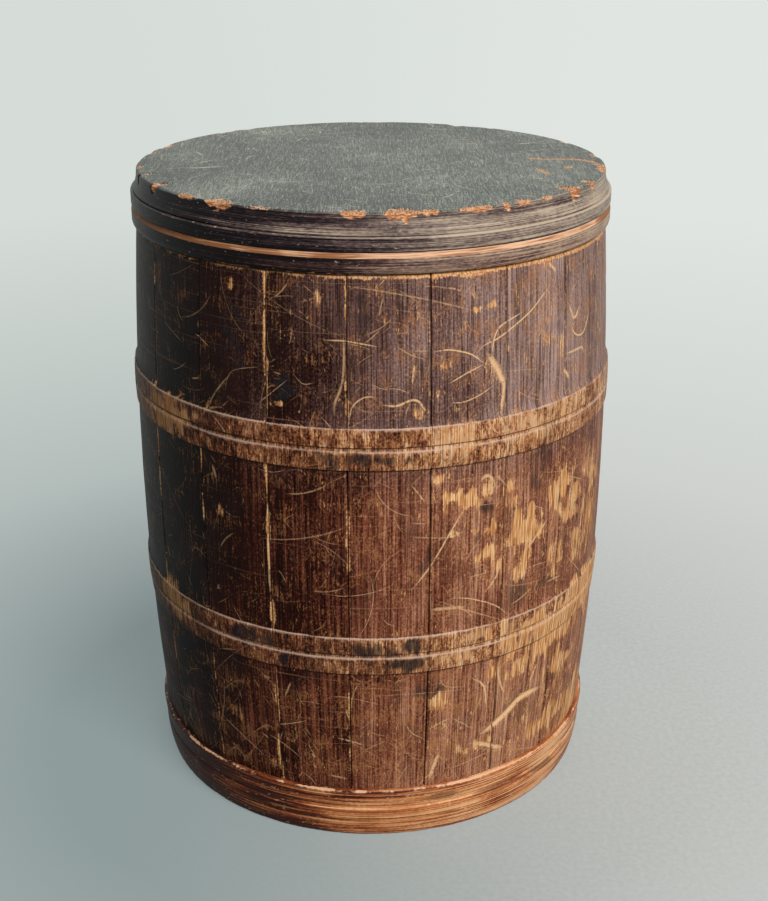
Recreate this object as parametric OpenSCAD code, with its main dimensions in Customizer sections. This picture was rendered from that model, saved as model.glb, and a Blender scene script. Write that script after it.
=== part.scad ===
// Small coopered tobacco keg with a lift-off lid, standing on its base.
// The origin is the middle of the base's underside, +Z is up and the front faces -Y. Millimetres.

/* [Staves] */
// Number of staves round the keg
stave_count = 20; // [12:1:32]
// Length of the staves, from the base to the collar
stave_l = 137.6; // [110:0.2:170]
// Diameter over the tops of the staves
mouth_d = 122; // [100:0.2:150]
// Thickness of the staves at their tops, down to the straight bore
wall = 9; // [6:0.2:14]
// How far the belly swells out beyond the stave tops
belly_out = 2.4; // [0.6:0.1:6]
// Height of the widest part of the belly above the staves' feet
belly_up = 73; // [60:0.5:85]
// Angle of the first seam from the front, positive to the right
first_seam = -5.3; // [-30:0.1:30]

/* [Seams] */
// Width of the groove along each seam
seam_w = 0.7; // [0.3:0.05:1.5]
// Depth of the groove along each seam
seam_depth = 0.5; // [0.2:0.05:1.5]
// How far short of the hoops each groove stops
seam_stop = 0.3; // [0.1:0.1:1]

/* [Hoops] */
// Height of one hoop's face
hoop_face = 4.7; // [3:0.1:6]
// Height of the sloping ledge between the two hoops of a pair
hoop_ledge = 1.05; // [0.5:0.05:2]
// How far that ledge cuts in behind the upper hoop
hoop_cut = 0.4; // [0.2:0.05:0.45]
// Height of the soft run-in above a pair of hoops
hoop_cove = 2; // [0.5:0.1:4]
// Chamfer on the lower edge of each hoop
hoop_edge = 0.15; // [0.05:0.05:0.35]
// How far the face of a pair's lower hoop leans in at its foot
hoop_lean = 0.3; // [0:0.05:0.6]
// Height of the upper pair above the staves' feet
upper_pair_up = 91; // [80:0.5:96]
// How far the upper pair stands out from the staves
upper_pair_out = 0.8; // [0.5:0.05:2]
// Height of the lower pair above the staves' feet
lower_pair_up = 35.7; // [20:0.5:50]
// How far the lower pair stands out from the staves
lower_pair_out = 0.55; // [0.5:0.05:2]

/* [Base] */
// Height of the base up to the staves' feet
base_h = 15; // [12:0.5:24]
// How far the base's upper edge stands out from the staves
base_out = 1.2; // [0.4:0.1:4]
// Height of the line that parts the base's two mouldings
base_line_z = 9.3; // [7:0.1:10.5]
// Depth of that line
base_line_depth = 0.5; // [0.2:0.05:1]
// Chamfer on the base's upper edge
base_edge = 0.5; // [0.2:0.05:1]
// How far the base's side leans in from its upper edge down to the line
base_lean = 0.55; // [0:0.05:2]
// Radius of the curve from the line in to the base's foot
base_curve_r = 30; // [16:1:60]
// Chamfer round the base's foot
foot_edge = 0.6; // [0.3:0.1:2]
// Height of the spigot that stands up inside the staves
spigot_h = 4; // [2:0.5:8]
// Gap round the spigot, filled with glue
spigot_gap = 0.1; // [0.05:0.05:0.4]

/* [Collar] */
// Height of the collar between the staves and the lid
collar_h = 5.2; // [4:0.1:10]
// How far the collar stands out from the stave tops
collar_out = 1; // [0.3:0.1:3]
// Height of the bead that rounds the collar's lower edge
collar_bead = 1.6; // [0.5:0.1:2.2]
// Height of the bare chamfer under the lid
collar_bevel_h = 1.4; // [0.5:0.1:1.8]
// Depth of that chamfer
collar_bevel_in = 0.5; // [0.2:0.1:2]

/* [Lid] */
// Height of the lid's lower rim
rim_h = 3.6; // [2:0.1:6]
// How far the lid's rim stands out from the collar
rim_out = 0; // [-1:0.1:3]
// Height of the lid above its rim
cap_h = 5.2; // [3:0.1:10]
// Step in from the rim to the cap above it
cap_step = 0.6; // [0.2:0.1:2]
// How far the cap's side leans in up to the top
cap_lean = 1.1; // [0:0.1:3]
// Chamfer on the edges of the lid's rim and top
lid_edge = 0.4; // [0.1:0.1:1]
// Depth of the plug that fills the mouth
plug_h = 10.2; // [5:0.2:20]
// Gap between the plug and the bore
plug_gap = 0.5; // [0.3:0.05:1.5]
// Lead-in chamfer on the plug's lower edge
plug_lead = 1; // [0.3:0.1:3]

/* [Hidden] */
$fn = 180;
// Fineness of the long, shallow curve of the belly
belly_fn = 720;
// How far shapes overlap where they are joined, and cuts run past what they cut
over = 1;

mouth_r = mouth_d / 2;
bore_r = mouth_r - wall;
belly_r = mouth_r + belly_out;
pitch = 360 / stave_count;

// Heights from the underside of the base
belly_z = base_h + belly_up;
collar_z = base_h + stave_l;
lid_z = collar_z + collar_h;
cap_z = lid_z + rim_h;
top_z = cap_z + cap_h;
pair_h = 2 * hoop_face + hoop_ledge;
lower_pair_z = base_h + lower_pair_up;
upper_pair_z = base_h + upper_pair_up;

// The belly is an arc through the widest part and the stave tops
belly_rise = stave_l - belly_up;
belly_arc_r = (belly_rise * belly_rise + belly_out * belly_out) / (2 * belly_out);
function stave_r(z) =
    belly_r - belly_arc_r + sqrt(belly_arc_r * belly_arc_r - (z - belly_z) * (z - belly_z));

// Half of the seam's groove is cut from each stave
groove_angle = (seam_w / 2) / belly_r * 180 / PI;
// The first seam is measured from the front, which faces -Y
front_angle = -90;

base_r = stave_r(base_h) + base_out;
spigot_r = bore_r - spigot_gap;
collar_r = mouth_r + collar_out;
rim_r = collar_r + rim_out;
cap_r = rim_r - cap_step;
top_r = cap_r - cap_lean;
plug_r = bore_r - plug_gap;

function two_digits(i) = str(i < 10 ? "0" : "", i);
function stave_name(i) = str("stave_", two_digits(i));

// The belly's arc as a disc in the radius and height plane, set in from the staves' faces
module belly_disc(inset) {
    translate([belly_r - belly_arc_r, belly_z])
        circle(r = belly_arc_r - inset, $fn = belly_fn);
}

// Two hoops turned on the staves, one above the other, with a ledge between them.
// The run-in above the lip is drawn twice as long as it shows, so that it ends inside the stave.
module hoop_pair_section(foot_z, out) {
    ledge_z = foot_z + hoop_face;
    upper_z = ledge_z + hoop_ledge;
    lip_z = foot_z + pair_h;
    foot_r = stave_r(foot_z) + out - hoop_lean;
    lip_r = stave_r(lip_z) + out;
    cove_in = lip_r - stave_r(lip_z + hoop_cove);
    root_r = bore_r + over;
    polygon([
        [root_r, foot_z],
        [foot_r - hoop_edge, foot_z],
        [foot_r, foot_z + hoop_edge],
        [stave_r(ledge_z) + out, ledge_z],
        [stave_r(upper_z) + out - hoop_cut, upper_z],
        [stave_r(upper_z) + out - hoop_edge, upper_z],
        [stave_r(upper_z) + out, upper_z + hoop_edge],
        [lip_r, lip_z],
        [lip_r - 2 * cove_in, lip_z + 2 * hoop_cove],
        [root_r, lip_z + 2 * hoop_cove],
    ]);
}

// Outline of a stave with its two pairs of hoops
module stave_section() {
    intersection() {
        translate([bore_r, base_h])
            square([belly_r - bore_r + over, stave_l]);
        belly_disc(0);
    }
    hoop_pair_section(lower_pair_z, lower_pair_out);
    hoop_pair_section(upper_pair_z, upper_pair_out);
}

// What a seam's groove takes away below, between and above the pairs of hoops
module groove_section() {
    cove_h = pair_h + hoop_cove;
    registers = [
        [base_h - over, lower_pair_z - seam_stop],
        [lower_pair_z + cove_h + seam_stop, upper_pair_z - seam_stop],
        [upper_pair_z + cove_h + seam_stop, collar_z + over],
    ];
    difference() {
        for (register = registers)
            translate([bore_r, register[0]])
                square([belly_r - bore_r + over, register[1] - register[0]]);
        belly_disc(seam_depth);
    }
}

// One stave between two radial joints, with half a groove along each joint
module stave(i) {
    color("#4a2a1f")
        rotate(front_angle + first_seam + (i - 1) * pitch)
            difference() {
                rotate_extrude(angle = pitch)
                    stave_section();
                for (joint = [0, pitch])
                    rotate(joint - groove_angle)
                        rotate_extrude(angle = 2 * groove_angle)
                            groove_section();
            }
}

// Turned base board: two mouldings outside and a spigot that locates the staves
module base() {
    side_r = base_r - base_lean;
    line_r = side_r - base_line_depth;
    curve_centre_r = side_r - base_curve_r;
    curve_foot_r = curve_centre_r + sqrt(base_curve_r * base_curve_r - base_line_z * base_line_z);
    foot_r = curve_foot_r - foot_edge;
    color("#7c4a2a")
        rotate_extrude() {
            square([curve_centre_r, base_line_z]);
            intersection() {
                translate([curve_centre_r, base_line_z])
                    circle(r = base_curve_r);
                polygon([
                    [0, 0],
                    [foot_r, 0],
                    [foot_r + base_line_z, base_line_z],
                    [0, base_line_z],
                ]);
            }
            polygon([
                [0, base_line_z],
                [line_r, base_line_z],
                [side_r, base_line_z + base_line_depth],
                [base_r, base_h - base_edge],
                [base_r - base_edge, base_h],
                [spigot_r, base_h],
                [spigot_r, base_h + spigot_h],
                [0, base_h + spigot_h],
            ]);
        }
}

// Collar ring on the stave tops, with a bead below and a bare chamfer under the lid
module collar() {
    color("#3a2620")
        rotate_extrude()
            polygon([
                [bore_r, collar_z],
                [mouth_r, collar_z],
                [collar_r, collar_z + collar_bead],
                [collar_r, lid_z - collar_bevel_h],
                [collar_r - collar_bevel_in, lid_z],
                [bore_r, lid_z],
            ]);
}

// Lid board: rim, leaning cap and the plug that drops into the mouth
module lid() {
    color("#47504c")
        rotate_extrude()
            polygon([
                [0, lid_z - plug_h],
                [plug_r - plug_lead, lid_z - plug_h],
                [plug_r, lid_z - plug_h + plug_lead],
                [plug_r, lid_z],
                [rim_r - lid_edge, lid_z],
                [rim_r, lid_z + lid_edge],
                [rim_r, cap_z - lid_edge],
                [rim_r - lid_edge, cap_z],
                [cap_r, cap_z],
                [top_r, top_z - lid_edge],
                [top_r - lid_edge, top_z],
                [0, top_z],
            ]);
}

base();
for (i = [1 : stave_count])
    stave(i);
collar();
lid();
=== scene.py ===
"""Looks of a small coopered tobacco keg: worn, stained staves with turned hoops, between a moulded base and a
collar, closed by a lift-off lid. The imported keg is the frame, and each piece stands for one of its nodes."""
import math
import random

import bmesh
import bpy
import numpy as np
from mathutils import Euler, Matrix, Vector


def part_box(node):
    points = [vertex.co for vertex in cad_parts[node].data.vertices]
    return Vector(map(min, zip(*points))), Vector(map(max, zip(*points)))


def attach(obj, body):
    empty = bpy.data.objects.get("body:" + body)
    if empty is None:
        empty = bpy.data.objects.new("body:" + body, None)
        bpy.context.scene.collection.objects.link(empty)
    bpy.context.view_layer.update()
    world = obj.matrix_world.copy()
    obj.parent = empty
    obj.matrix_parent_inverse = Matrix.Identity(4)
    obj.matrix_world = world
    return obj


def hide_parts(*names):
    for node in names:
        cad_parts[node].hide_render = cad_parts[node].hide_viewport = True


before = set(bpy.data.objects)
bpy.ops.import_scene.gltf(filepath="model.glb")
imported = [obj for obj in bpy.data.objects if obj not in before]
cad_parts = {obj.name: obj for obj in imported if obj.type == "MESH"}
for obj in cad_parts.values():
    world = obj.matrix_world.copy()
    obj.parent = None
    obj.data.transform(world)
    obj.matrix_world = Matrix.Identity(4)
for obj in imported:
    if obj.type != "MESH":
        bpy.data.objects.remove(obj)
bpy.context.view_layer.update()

# Sizes are millimetres, and MM turns them to the scene's metres.
# Angles are degrees round the keg from its front, which faces -Y, and positive to the right.
MM = 0.001

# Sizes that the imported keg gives
staves = sorted(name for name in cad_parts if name.startswith("stave_"))
pitch = 360 / len(staves)
foot_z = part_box(staves[0])[0].z / MM
stave_top_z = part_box(staves[0])[1].z / MM
lid_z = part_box("collar")[1].z / MM
top_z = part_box("lid")[1].z / MM
plug_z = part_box("lid")[0].z / MM
spigot_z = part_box("base")[1].z / MM
collar_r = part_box("collar")[1].x / MM
rim_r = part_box("lid")[1].x / MM
base_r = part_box("base")[1].x / MM

# Staves
FIRST_SEAM = -5.3
MOUTH_R = 61
WALL = 9
BELLY_OUT = 2.4
BELLY_UP = 73
bore_r = MOUTH_R - WALL
belly_r = MOUTH_R + BELLY_OUT
belly_z = foot_z + BELLY_UP
belly_rise = stave_top_z - belly_z
belly_arc_r = (belly_rise ** 2 + BELLY_OUT ** 2) / (2 * BELLY_OUT)

# Hoops: each pair is its foot's height above the staves' feet and how far it stands out from the staves
HOOP_FACE = 4.7
HOOP_LEDGE = 1.05
HOOP_CUT = 0.4
HOOP_COVE = 2
HOOP_LEAN = 0.3
LOWER_PAIR = (35.7, 0.55)
UPPER_PAIR = (91, 0.8)
# Height of the upper hoop's sloping lower edge
HOOP_EDGE = 0.1
# The cove above a lip: the height at which it starts, and the shares of the hoop's stand-out at its start and
# along its curve
COVE_START = 0.25
COVE_START_OUT = 0.6
COVE_HOLLOW = 0.75
# The plain face of a stave stops short of a pair of hoops and starts again above its cove
FACE_STOP = 0.2
FACE_START = 0.3
pair_h = 2 * HOOP_FACE + HOOP_LEDGE

# Base
BASE_LINE_Z = 9.3
BASE_LINE_DEPTH = 0.5
BASE_LEAN = 0.55
BASE_LINE_RISE = 0.45
BASE_LINE_SOFT = 0.3
BASE_EDGE = 0.5
BASE_CURVE_R = 30
FOOT_EDGE = 0.6
SPIGOT_GAP = 0.1
SPIGOT_EDGE = 0.4

# Collar and lid
COLLAR_BEAD = 1.6
BARE_BAND = 1.4
BARE_BAND_IN = 0.5
RIM_H = 3.6
CAP_STEP = 0.6
CAP_LEAN = 1.1
RIM_FOOT_EDGE = 0.35
TOP_EDGE = 0.5
TOP_RINGS = 46
PLUG_GAP = 0.5
PLUG_LEAD = 1
cap_z = lid_z + RIM_H
cap_r = rim_r - CAP_STEP
top_r = cap_r - CAP_LEAN

# Fineness of the meshes
ROW = 0.7
CORNER = 0.22
GROOVE_ZONE = 0.7
GROOVE_STEPS = 5
STAVE_STEPS = 26
BACK_ANGLE = 180
TURN_WEDGES = 20
WEDGE_STEPS = 32
BORE_STEP = 12
CORNER_SHARE = 0.45
MERGE = 0.001
SHARP_ANGLE = 50

# The photograph's frame in pixels and the camera that took it
PHOTO_W, PHOTO_H = 768, 901
FOCAL_PX = 1454.2
CAMERA_PLACE = Vector((0, -377.2, 238.7))
CAMERA_DOWN = 22.11
CAMERA_TURN = -0.51
SENSOR_MM = 36
# Rounds after which the place of a pixel on a turned side has settled
PLACE_ROUNDS = 6
camera_turn = Euler((math.radians(90 - CAMERA_DOWN), 0, math.radians(CAMERA_TURN)))


def at(radius, angle, height):
    """A point in the scene's metres from a radius and height in millimetres and an angle from the front."""
    turn = math.radians(angle)
    return Vector((radius * math.sin(turn), -radius * math.cos(turn), height)) * MM


def stave_radius(height):
    """Radius of the staves' outer face, an arc that swells to the belly."""
    return belly_r - belly_arc_r + math.sqrt(belly_arc_r ** 2 - (height - belly_z) ** 2)


def photo_ray(x, y):
    """Direction in which the camera sees a pixel of the photograph."""
    ray = Vector(((x - PHOTO_W / 2) / FOCAL_PX, (PHOTO_H / 2 - y) / FOCAL_PX, -1))
    ray.rotate(camera_turn)
    return ray


def side_place(x, y, radius_at):
    """Angle and height at which a pixel falls on a turned side, whose radius depends on the height."""
    ray = photo_ray(x, y)
    height = belly_z
    for attempt in range(PLACE_ROUNDS):
        radius = radius_at(height)
        a = ray.x ** 2 + ray.y ** 2
        b = CAMERA_PLACE.x * ray.x + CAMERA_PLACE.y * ray.y
        c = CAMERA_PLACE.x ** 2 + CAMERA_PLACE.y ** 2 - radius ** 2
        reach = (-b - math.sqrt(max(b * b - a * c, 0))) / a
        hit = CAMERA_PLACE + reach * ray
        height = min(max(hit.z, foot_z), stave_top_z)
    return math.degrees(math.atan2(hit.x, -hit.y)), hit.z


def lid_place(x, y):
    """Place on the lid's top, in millimetres from its middle, where a pixel falls."""
    ray = photo_ray(x, y)
    hit = CAMERA_PLACE + (top_z - CAMERA_PLACE.z) / ray.z * ray
    return hit.x, hit.y


# Seeded noise: values on a lattice, the steps through them along the three axes, and a shift for each seed
SEED = 1890
LATTICE = np.random.default_rng(SEED).uniform(-1, 1, 8191)
LATTICE_STRIDES = np.array((1, 157, 2371))
SEED_SHIFT = 17.3


def smoothstep(low, high, values):
    """A soft step from 0, where the values are low, to 1, where they are high."""
    share = np.clip((values - low) / (high - low), 0, 1)
    return share * share * (3 - 2 * share)


def field(points, size, seed=0):
    """Smooth noise from -1 to 1 at points in millimetres, with hills of the given size."""
    place = points / size + SEED_SHIFT * seed
    cell = np.floor(place).astype(int)
    share = place - cell
    share = share * share * (3 - 2 * share)
    total = np.zeros(len(points))
    for corner in np.ndindex(2, 2, 2):
        weight = np.where(corner, share, 1 - share).prod(1)
        total += weight * LATTICE[(cell + corner) @ LATTICE_STRIDES % len(LATTICE)]
    return total


def smooth_line(points, step=0.8):
    """A curve through the points, as close points along it."""
    points = np.array(points, float)
    ends = np.vstack([2 * points[0] - points[1], points, 2 * points[-1] - points[-2]])
    made = []
    for p0, p1, p2, p3 in zip(ends, ends[1:], ends[2:], ends[3:]):
        count = max(1, round(np.linalg.norm(p2 - p1) / step))
        for t in np.arange(count) / count:
            made.append(0.5 * (2 * p1 + (p2 - p0) * t + (2 * p0 - 5 * p1 + 4 * p2 - p3) * t ** 2
                               + (3 * p1 - p0 - 3 * p2 + p3) * t ** 3))
    return np.array(made + [points[-1]])


def near_line(points, line):
    """Signed distances of points from a line of points, and how far along it, from 0 to 1, they lie."""
    run = line[1:] - line[:-1]
    length = np.maximum(np.linalg.norm(run, axis=1), 1e-6)
    reach = points[:, None] - line[:-1]
    share = np.clip((reach * run).sum(2) / length ** 2, 0, 1)
    off = reach - share[..., None] * run
    gap = np.linalg.norm(off, axis=2)
    row = np.arange(len(points))
    best = gap.argmin(1)
    side = np.where(run[best, 0] * off[row, best, 1] > run[best, 1] * off[row, best, 0], 1, -1)
    start = np.concatenate([[0], np.cumsum(length)])
    along = (start[best] + share[row, best] * length[best]) / start[-1]
    return side * gap[row, best], along


# Marks that show on the front, placed by pixels of the photograph.
# A scratch has its half-width in millimetres, its strength and the pixels along it.
FRONT_SCRATCHES = {
    "slash down the middle": (0.3, 0.9, [
        (465, 507), (456, 523), (445, 542), (434, 561), (424, 575), (410, 592)]),
    "gouge at the upper right": (0.6, 1, [(496, 364), (501, 373), (504, 383), (503, 398), (500, 418)]),
    "leaf of the gouge": (1.1, 1, [(488, 353), (493, 361), (499, 371), (505, 386)]),
    "hook above the gouge": (0.26, 1.1, [(492, 357), (494, 340), (499, 328), (508, 321), (524, 311)]),
    "long sweep to the collar": (0.26, 1.2, [
        (478, 353), (483, 346), (497, 339), (508, 331), (520, 321), (530, 312), (538, 302), (552, 282)]),
    "arc left of the gouge": (0.24, 1.2, [(433, 352), (446, 350), (459, 351), (473, 355), (485, 364)]),
    "tail under that arc": (0.22, 1, [(485, 364), (471, 371), (459, 378), (449, 384)]),
    "rise to the gouge": (0.22, 0.9, [(449, 403), (464, 402), (480, 395), (494, 385)]),
    "chain of rubs": (0.36, 1, [(381, 405), (397, 406), (409, 401), (418, 401), (428, 414)]),
    "bow at the hoop": (0.24, 0.9, [(349, 421), (352, 408), (358, 401), (367, 397), (377, 398)]),
    "faint line over it": (0.14, 0.6, [(371, 384), (382, 389), (397, 389), (412, 394)]),
    "short cross line": (0.24, 0.9, [(322, 340), (344, 341), (362, 344), (379, 347)]),
    "dip to the seam": (0.14, 0.6, [(396, 346), (411, 355), (428, 360)]),
    "dashes on the seam": (0.14, 0.6, [(413, 351), (431, 351)]),
    "leaning line": (0.14, 0.5, [(394, 317), (381, 328), (364, 336)]),
    "drip under the collar": (0.16, 0.6, [(384, 296), (381, 306), (379, 318)]),
    "worn strip by the seam": (0.4, 0.55, [(343, 334), (344, 356), (342, 384), (335, 403), (334, 416)]),
    "corner tick": (0.14, 0.6, [(321, 417), (332, 428)]),
    "left slant": (0.15, 0.55, [(164, 321), (172, 331), (182, 342)]),
    "left hook": (0.2, 0.4, [(177, 305), (179, 315), (183, 321)]),
    "thin loop": (0.12, 0.5, [(225, 392), (227, 379), (232, 371), (245, 368), (260, 367)]),
    "bar in stave three": (0.12, 0.4, [(269, 298), (281, 296), (293, 296)]),
    "light tick": (0.12, 0.6, [(303, 285), (314, 294)]),
    "zigzag": (0.15, 0.55, [(294, 375), (303, 384), (314, 383)]),
    "dab by the worn seam": (0.2, 0.5, [(273, 372), (281, 374)]),
    "hanging chip": (0.5, 0.9, [(548, 262), (552, 266), (556, 271)]),
    "right tick": (0.25, 0.8, [(571, 292), (576, 283)]),
    "right fork": (0.45, 1.1, [(569, 304), (572, 312), (575, 318), (580, 305)]),
    "right bowl": (0.32, 1, [(571, 323), (574, 332), (579, 335), (584, 331), (588, 316), (589, 306)]),
    "right brow": (0.4, 1, [(566, 354), (575, 350), (582, 347), (584, 352)]),
    "right leaf": (0.6, 1, [(564, 369), (567, 373), (569, 378)]),
    "far right streak": (0.3, 0.6, [(595, 295), (596, 305), (597, 316)]),
    "far right dash": (0.3, 0.6, [(594, 264), (595, 254)]),
    "shoulder of the big rub": (0.5, 0.85, [(548, 518), (542, 528), (536, 537), (527, 549)]),
    "strip at the right": (0.9, 0.9, [(557, 482), (559, 495), (561, 508), (562, 519)]),
    "second strip": (0.8, 0.8, [(573, 486), (574, 500), (574, 513)]),
    "third strip": (0.6, 0.75, [(577, 530), (577, 545), (575, 559)]),
    "fourth strip": (0.4, 0.7, [(555, 541), (553, 554), (552, 566)]),
    "pair of lines, lower": (0.13, 0.75, [(467, 578), (478, 575), (489, 572)]),
    "pair of lines, upper": (0.13, 0.6, [(471, 569), (479, 566), (486, 564)]),
    "thin line at the right": (0.15, 0.7, [(525, 569), (536, 565), (548, 561)]),
    "white tick": (0.13, 0.7, [(533, 505), (545, 509)]),
    "comet tail": (0.35, 0.85, [(501, 562), (496, 577), (490, 586), (484, 593)]),
    "cross at the right": (0.25, 0.7, [(556, 566), (550, 573), (545, 580)]),
    "thin slant at the right": (0.15, 0.7, [(567, 556), (574, 564), (581, 573)]),
    "hook over the comb rub": (0.6, 0.9, [(480, 483), (485, 476), (491, 477), (494, 486), (490, 496)]),
    "arc over the lower hoops": (0.24, 0.9, [
        (449, 599), (460, 598), (472, 599), (489, 603), (500, 608), (508, 615)]),
    "bar beside the seam": (0.6, 0.7, [(430, 610), (442, 609), (454, 608), (466, 607)]),
    "dash left of the seam": (0.18, 0.6, [(410, 523), (427, 524)]),
    "long faint bar": (0.3, 0.45, [(410, 537), (430, 538), (452, 537), (466, 530)]),
    "ribs left of the seam": (0.3, 0.55, [(411, 485), (418, 493), (425, 502)]),
    "leaf at the left": (0.5, 0.6, [(212, 464), (214, 471), (216, 479)]),
    "light run by the seam": (0.3, 0.7, [(268, 530), (268, 550), (269, 572), (270, 593)]),
    "streak at the lower left": (0.35, 0.6, [(291, 682), (288, 689), (285, 696)]),
    "thin slant, lower left": (0.14, 0.55, [(208, 692), (213, 700), (217, 709)]),
    "tick, lower left": (0.14, 0.5, [(239, 690), (242, 699)]),
    "light bar at the bottom": (0.22, 0.85, [(337, 738), (350, 741), (364, 745)]),
    "speck at the bottom": (0.3, 0.7, [(311, 753), (316, 758)]),
    "rub at the bottom": (0.4, 0.55, [(330, 775), (339, 777), (348, 779)]),
    "broad slash, lower right": (1.2, 1.3, [
        (541, 686), (530, 692), (519, 699), (506, 713), (492, 726), (479, 735)]),
    "foot of the slash": (0.9, 1.1, [(472, 743), (483, 744), (493, 746), (503, 747)]),
    "leg at the foot": (0.7, 1.1, [(439, 753), (434, 766), (429, 779)]),
    "cup, lower middle": (0.14, 0.65, [(440, 676), (442, 683), (447, 687), (456, 687), (464, 687)]),
    "hook, lower middle": (0.36, 1, [(476, 678), (481, 683), (485, 689), (486, 707)]),
    "strand, lower right": (0.34, 1, [(498, 666), (499, 679), (504, 693)]),
    "strand, far right": (0.45, 1, [(537, 663), (533, 673), (529, 683)]),
    "curl at the lower seam": (0.3, 0.6, [(428, 730), (436, 725), (444, 721), (450, 718)]),
    "curl under it": (0.2, 0.6, [(404, 722), (412, 733), (424, 739)]),
    "thin bow, lower left": (0.13, 0.5, [(367, 730), (378, 735), (390, 735)]),
    "loop on the lower left": (0.16, 0.55, [(351, 716), (352, 700), (356, 688), (362, 681)]),
    "thin tail, lower left": (0.13, 0.5, [(295, 701), (310, 702), (324, 705)]),
}

# A rub or a stain has its strength, its middle and its half-width and half-height in pixels.
FRONT_RUBS = {
    "chip by the collar": (1, (231, 285), (3, 6)),
    "drip by the collar": (0.5, (377, 292), (4, 9)),
    "comb marks": (0.5, (315, 300), (9, 10)),
    "smear, stave three": (0.3, (283, 335), (13, 6)),
    "smear under the blue": (0.65, (276, 404), (8, 3)),
    "warm spot": (0.4, (312, 361), (8, 4)),
    "pale chip": (0.9, (477, 310), (4, 3)),
    "rub beside it": (0.6, (491, 304), (6, 5)),
    "smear by the seam": (0.5, (443, 366), (9, 4)),
    "dab on the seam": (0.55, (419, 414), (7, 5)),
    "second dab": (0.4, (438, 394), (6, 4)),
    "third dab": (0.35, (414, 372), (6, 8)),
    "rub under the collar": (0.6, (549, 261), (8, 6)),
    "flecks, right stave": (0.45, (549, 338), (9, 6)),
    "flecks by the seam": (0.5, (560, 345), (4, 16)),
    "round rub": (0.95, (439, 480), (6, 6)),
    "comb rub": (1.2, (467, 500), (15, 13)),
    "comb rub, right end": (0.6, (488, 487), (5, 12)),
    "big rub": (1.3, (522, 528), (16, 16)),
    "upright rub by the seam": (0.95, (512, 486), (6, 9)),
    "flecks under it": (0.7, (515, 501), (6, 7)),
    "tail of the big rub": (0.9, (526, 556), (6, 13)),
    "end of the tail": (0.75, (516, 574), (3, 8)),
    "smear by the big rub": (0.95, (495, 527), (15, 7)),
    "smear under it": (0.75, (489, 553), (10, 8)),
    "smear to the left": (0.6, (450, 535), (20, 4)),
    "top strip": (1.05, (559, 492), (8, 20)),
    "strip beside it": (0.75, (572, 500), (5, 20)),
    "strip below": (0.75, (574, 540), (6, 20)),
    "lower strip": (0.75, (556, 555), (8, 16)),
    "strip on the far side": (0.8, (592, 480), (3, 16)),
    "head of the comet": (0.7, (499, 566), (4, 9)),
    "edge patch": (1.4, (582, 588), (24, 20)),
    "amber on the lower hoop": (1.3, (560, 620), (56, 22)),
    "amber at the left, upper hoops": (1, (170, 414), (20, 18)),
    "amber at the left, lower hoops": (0.8, (178, 600), (13, 16)),
    "amber at the right, upper hoops": (0.35, (545, 420), (26, 12)),
    "amber on the upper hoops": (0.5, (462, 438), (22, 16)),
    "edge patch, upper": (0.5, (583, 520), (8, 45)),
    "side wear, middle": (0.5, (590, 470), (6, 26)),
    "side strips, middle": (0.7, (589, 515), (4, 28)),
    "spot at the left": (0.6, (220, 511), (6, 5)),
    "chip at the left": (0.95, (219, 587), (2.5, 4)),
    "lower left spot": (0.6, (238, 711), (5, 7)),
    "lower seam wear": (0.55, (276, 762), (8, 8)),
    "foot of the broad slash": (0.95, (481, 743), (13, 5)),
    "side wear, low": (0.28, (557, 700), (18, 42)),
    "side wear, lowest": (0.35, (520, 735), (24, 14)),
    "side wear under the hoops": (0.5, (520, 668), (14, 8)),
    "haze by the lower seam": (0.35, (445, 735), (14, 14)),
    "amber field, low right": (0.9, (535, 728), (14, 9)),
    "amber edge, low right": (0.85, (558, 660), (12, 10)),
    "amber side, low right": (0.8, (570, 695), (7, 20)),
    "amber field, right": (0.8, (553, 713), (12, 10)),
    "amber below the hoops": (0.85, (497, 668), (9, 9)),
    "amber by the seam, low": (0.7, (440, 700), (10, 8)),
}
FRONT_STAINS = {
    "blue patch, stave three": (0.9, (283, 389), (12, 11)),
    "shade by the middle seam": (0.6, (361, 312), (10, 24)),
    "shade, stave two": (0.6, (232, 330), (10, 30)),
    "spot by the comb rub": (0.85, (486, 506), (7, 9)),
    "spot under it": (0.7, (476, 538), (7, 8)),
    "spot at the right": (0.65, (533, 482), (10, 12)),
    "shade at the right": (0.55, (516, 594), (14, 17)),
    "shade by the strips": (0.5, (545, 578), (12, 15)),
    "shade over the strips": (0.5, (540, 462), (12, 14)),
    "wedge on the seam": (0.7, (424, 570), (5, 16)),
    "lower spot": (0.75, (434, 692), (10, 9)),
    "lower spot, left half": (0.7, (418, 690), (5, 7)),
    "dull lower hoop, middle": (0.8, (348, 459), (44, 8)),
    "black on the hoop, left": (0.9, (251, 634), (22, 8)),
    "black on the hoop, middle": (0.8, (370, 651), (19, 8)),
    "black on the hoop, right": (0.9, (413, 648), (24, 9)),
    "black on the lower hoop": (0.85, (404, 664), (24, 7)),
    "black spot on the lower hoop": (1, (284, 657), (4, 6)),
    "black spot, middle": (0.8, (370, 664), (5, 3)),
    "shade, far left": (0.5, (192, 712), (4, 6)),
}

# Seams that show, by their number from the one nearest the front: groove width, groove depth and worn edges
SEAM_LOOKS = {
    -3: (0.28, 0.35, 1.1),
    -2: (0.26, 0.35, 0.7),
    -1: (0.26, 0.35, 1.5),
    0: (0.28, 0.5, 0.8),
    1: (0.3, 0.6, 0.7),
    2: (0.28, 0.5, 0.8),
    3: (0.4, 0.6, 0.6),
}

# Handling has rubbed one side of the keg. Round an angle across from it the stain is made darker, partly a
# darker stain and partly painted shade of the side turned from the light. Between the two angles given the
# dark side gives way to the back, where the stain is lighter again.
WORN_SIDE_RUB = 0.15
DARK_SIDE_ANGLE = -118
DARK_SIDE_TONE = 0.78
BACK_ANGLES = (75, 165)
BACK_LIGHTER = 0.55
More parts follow.
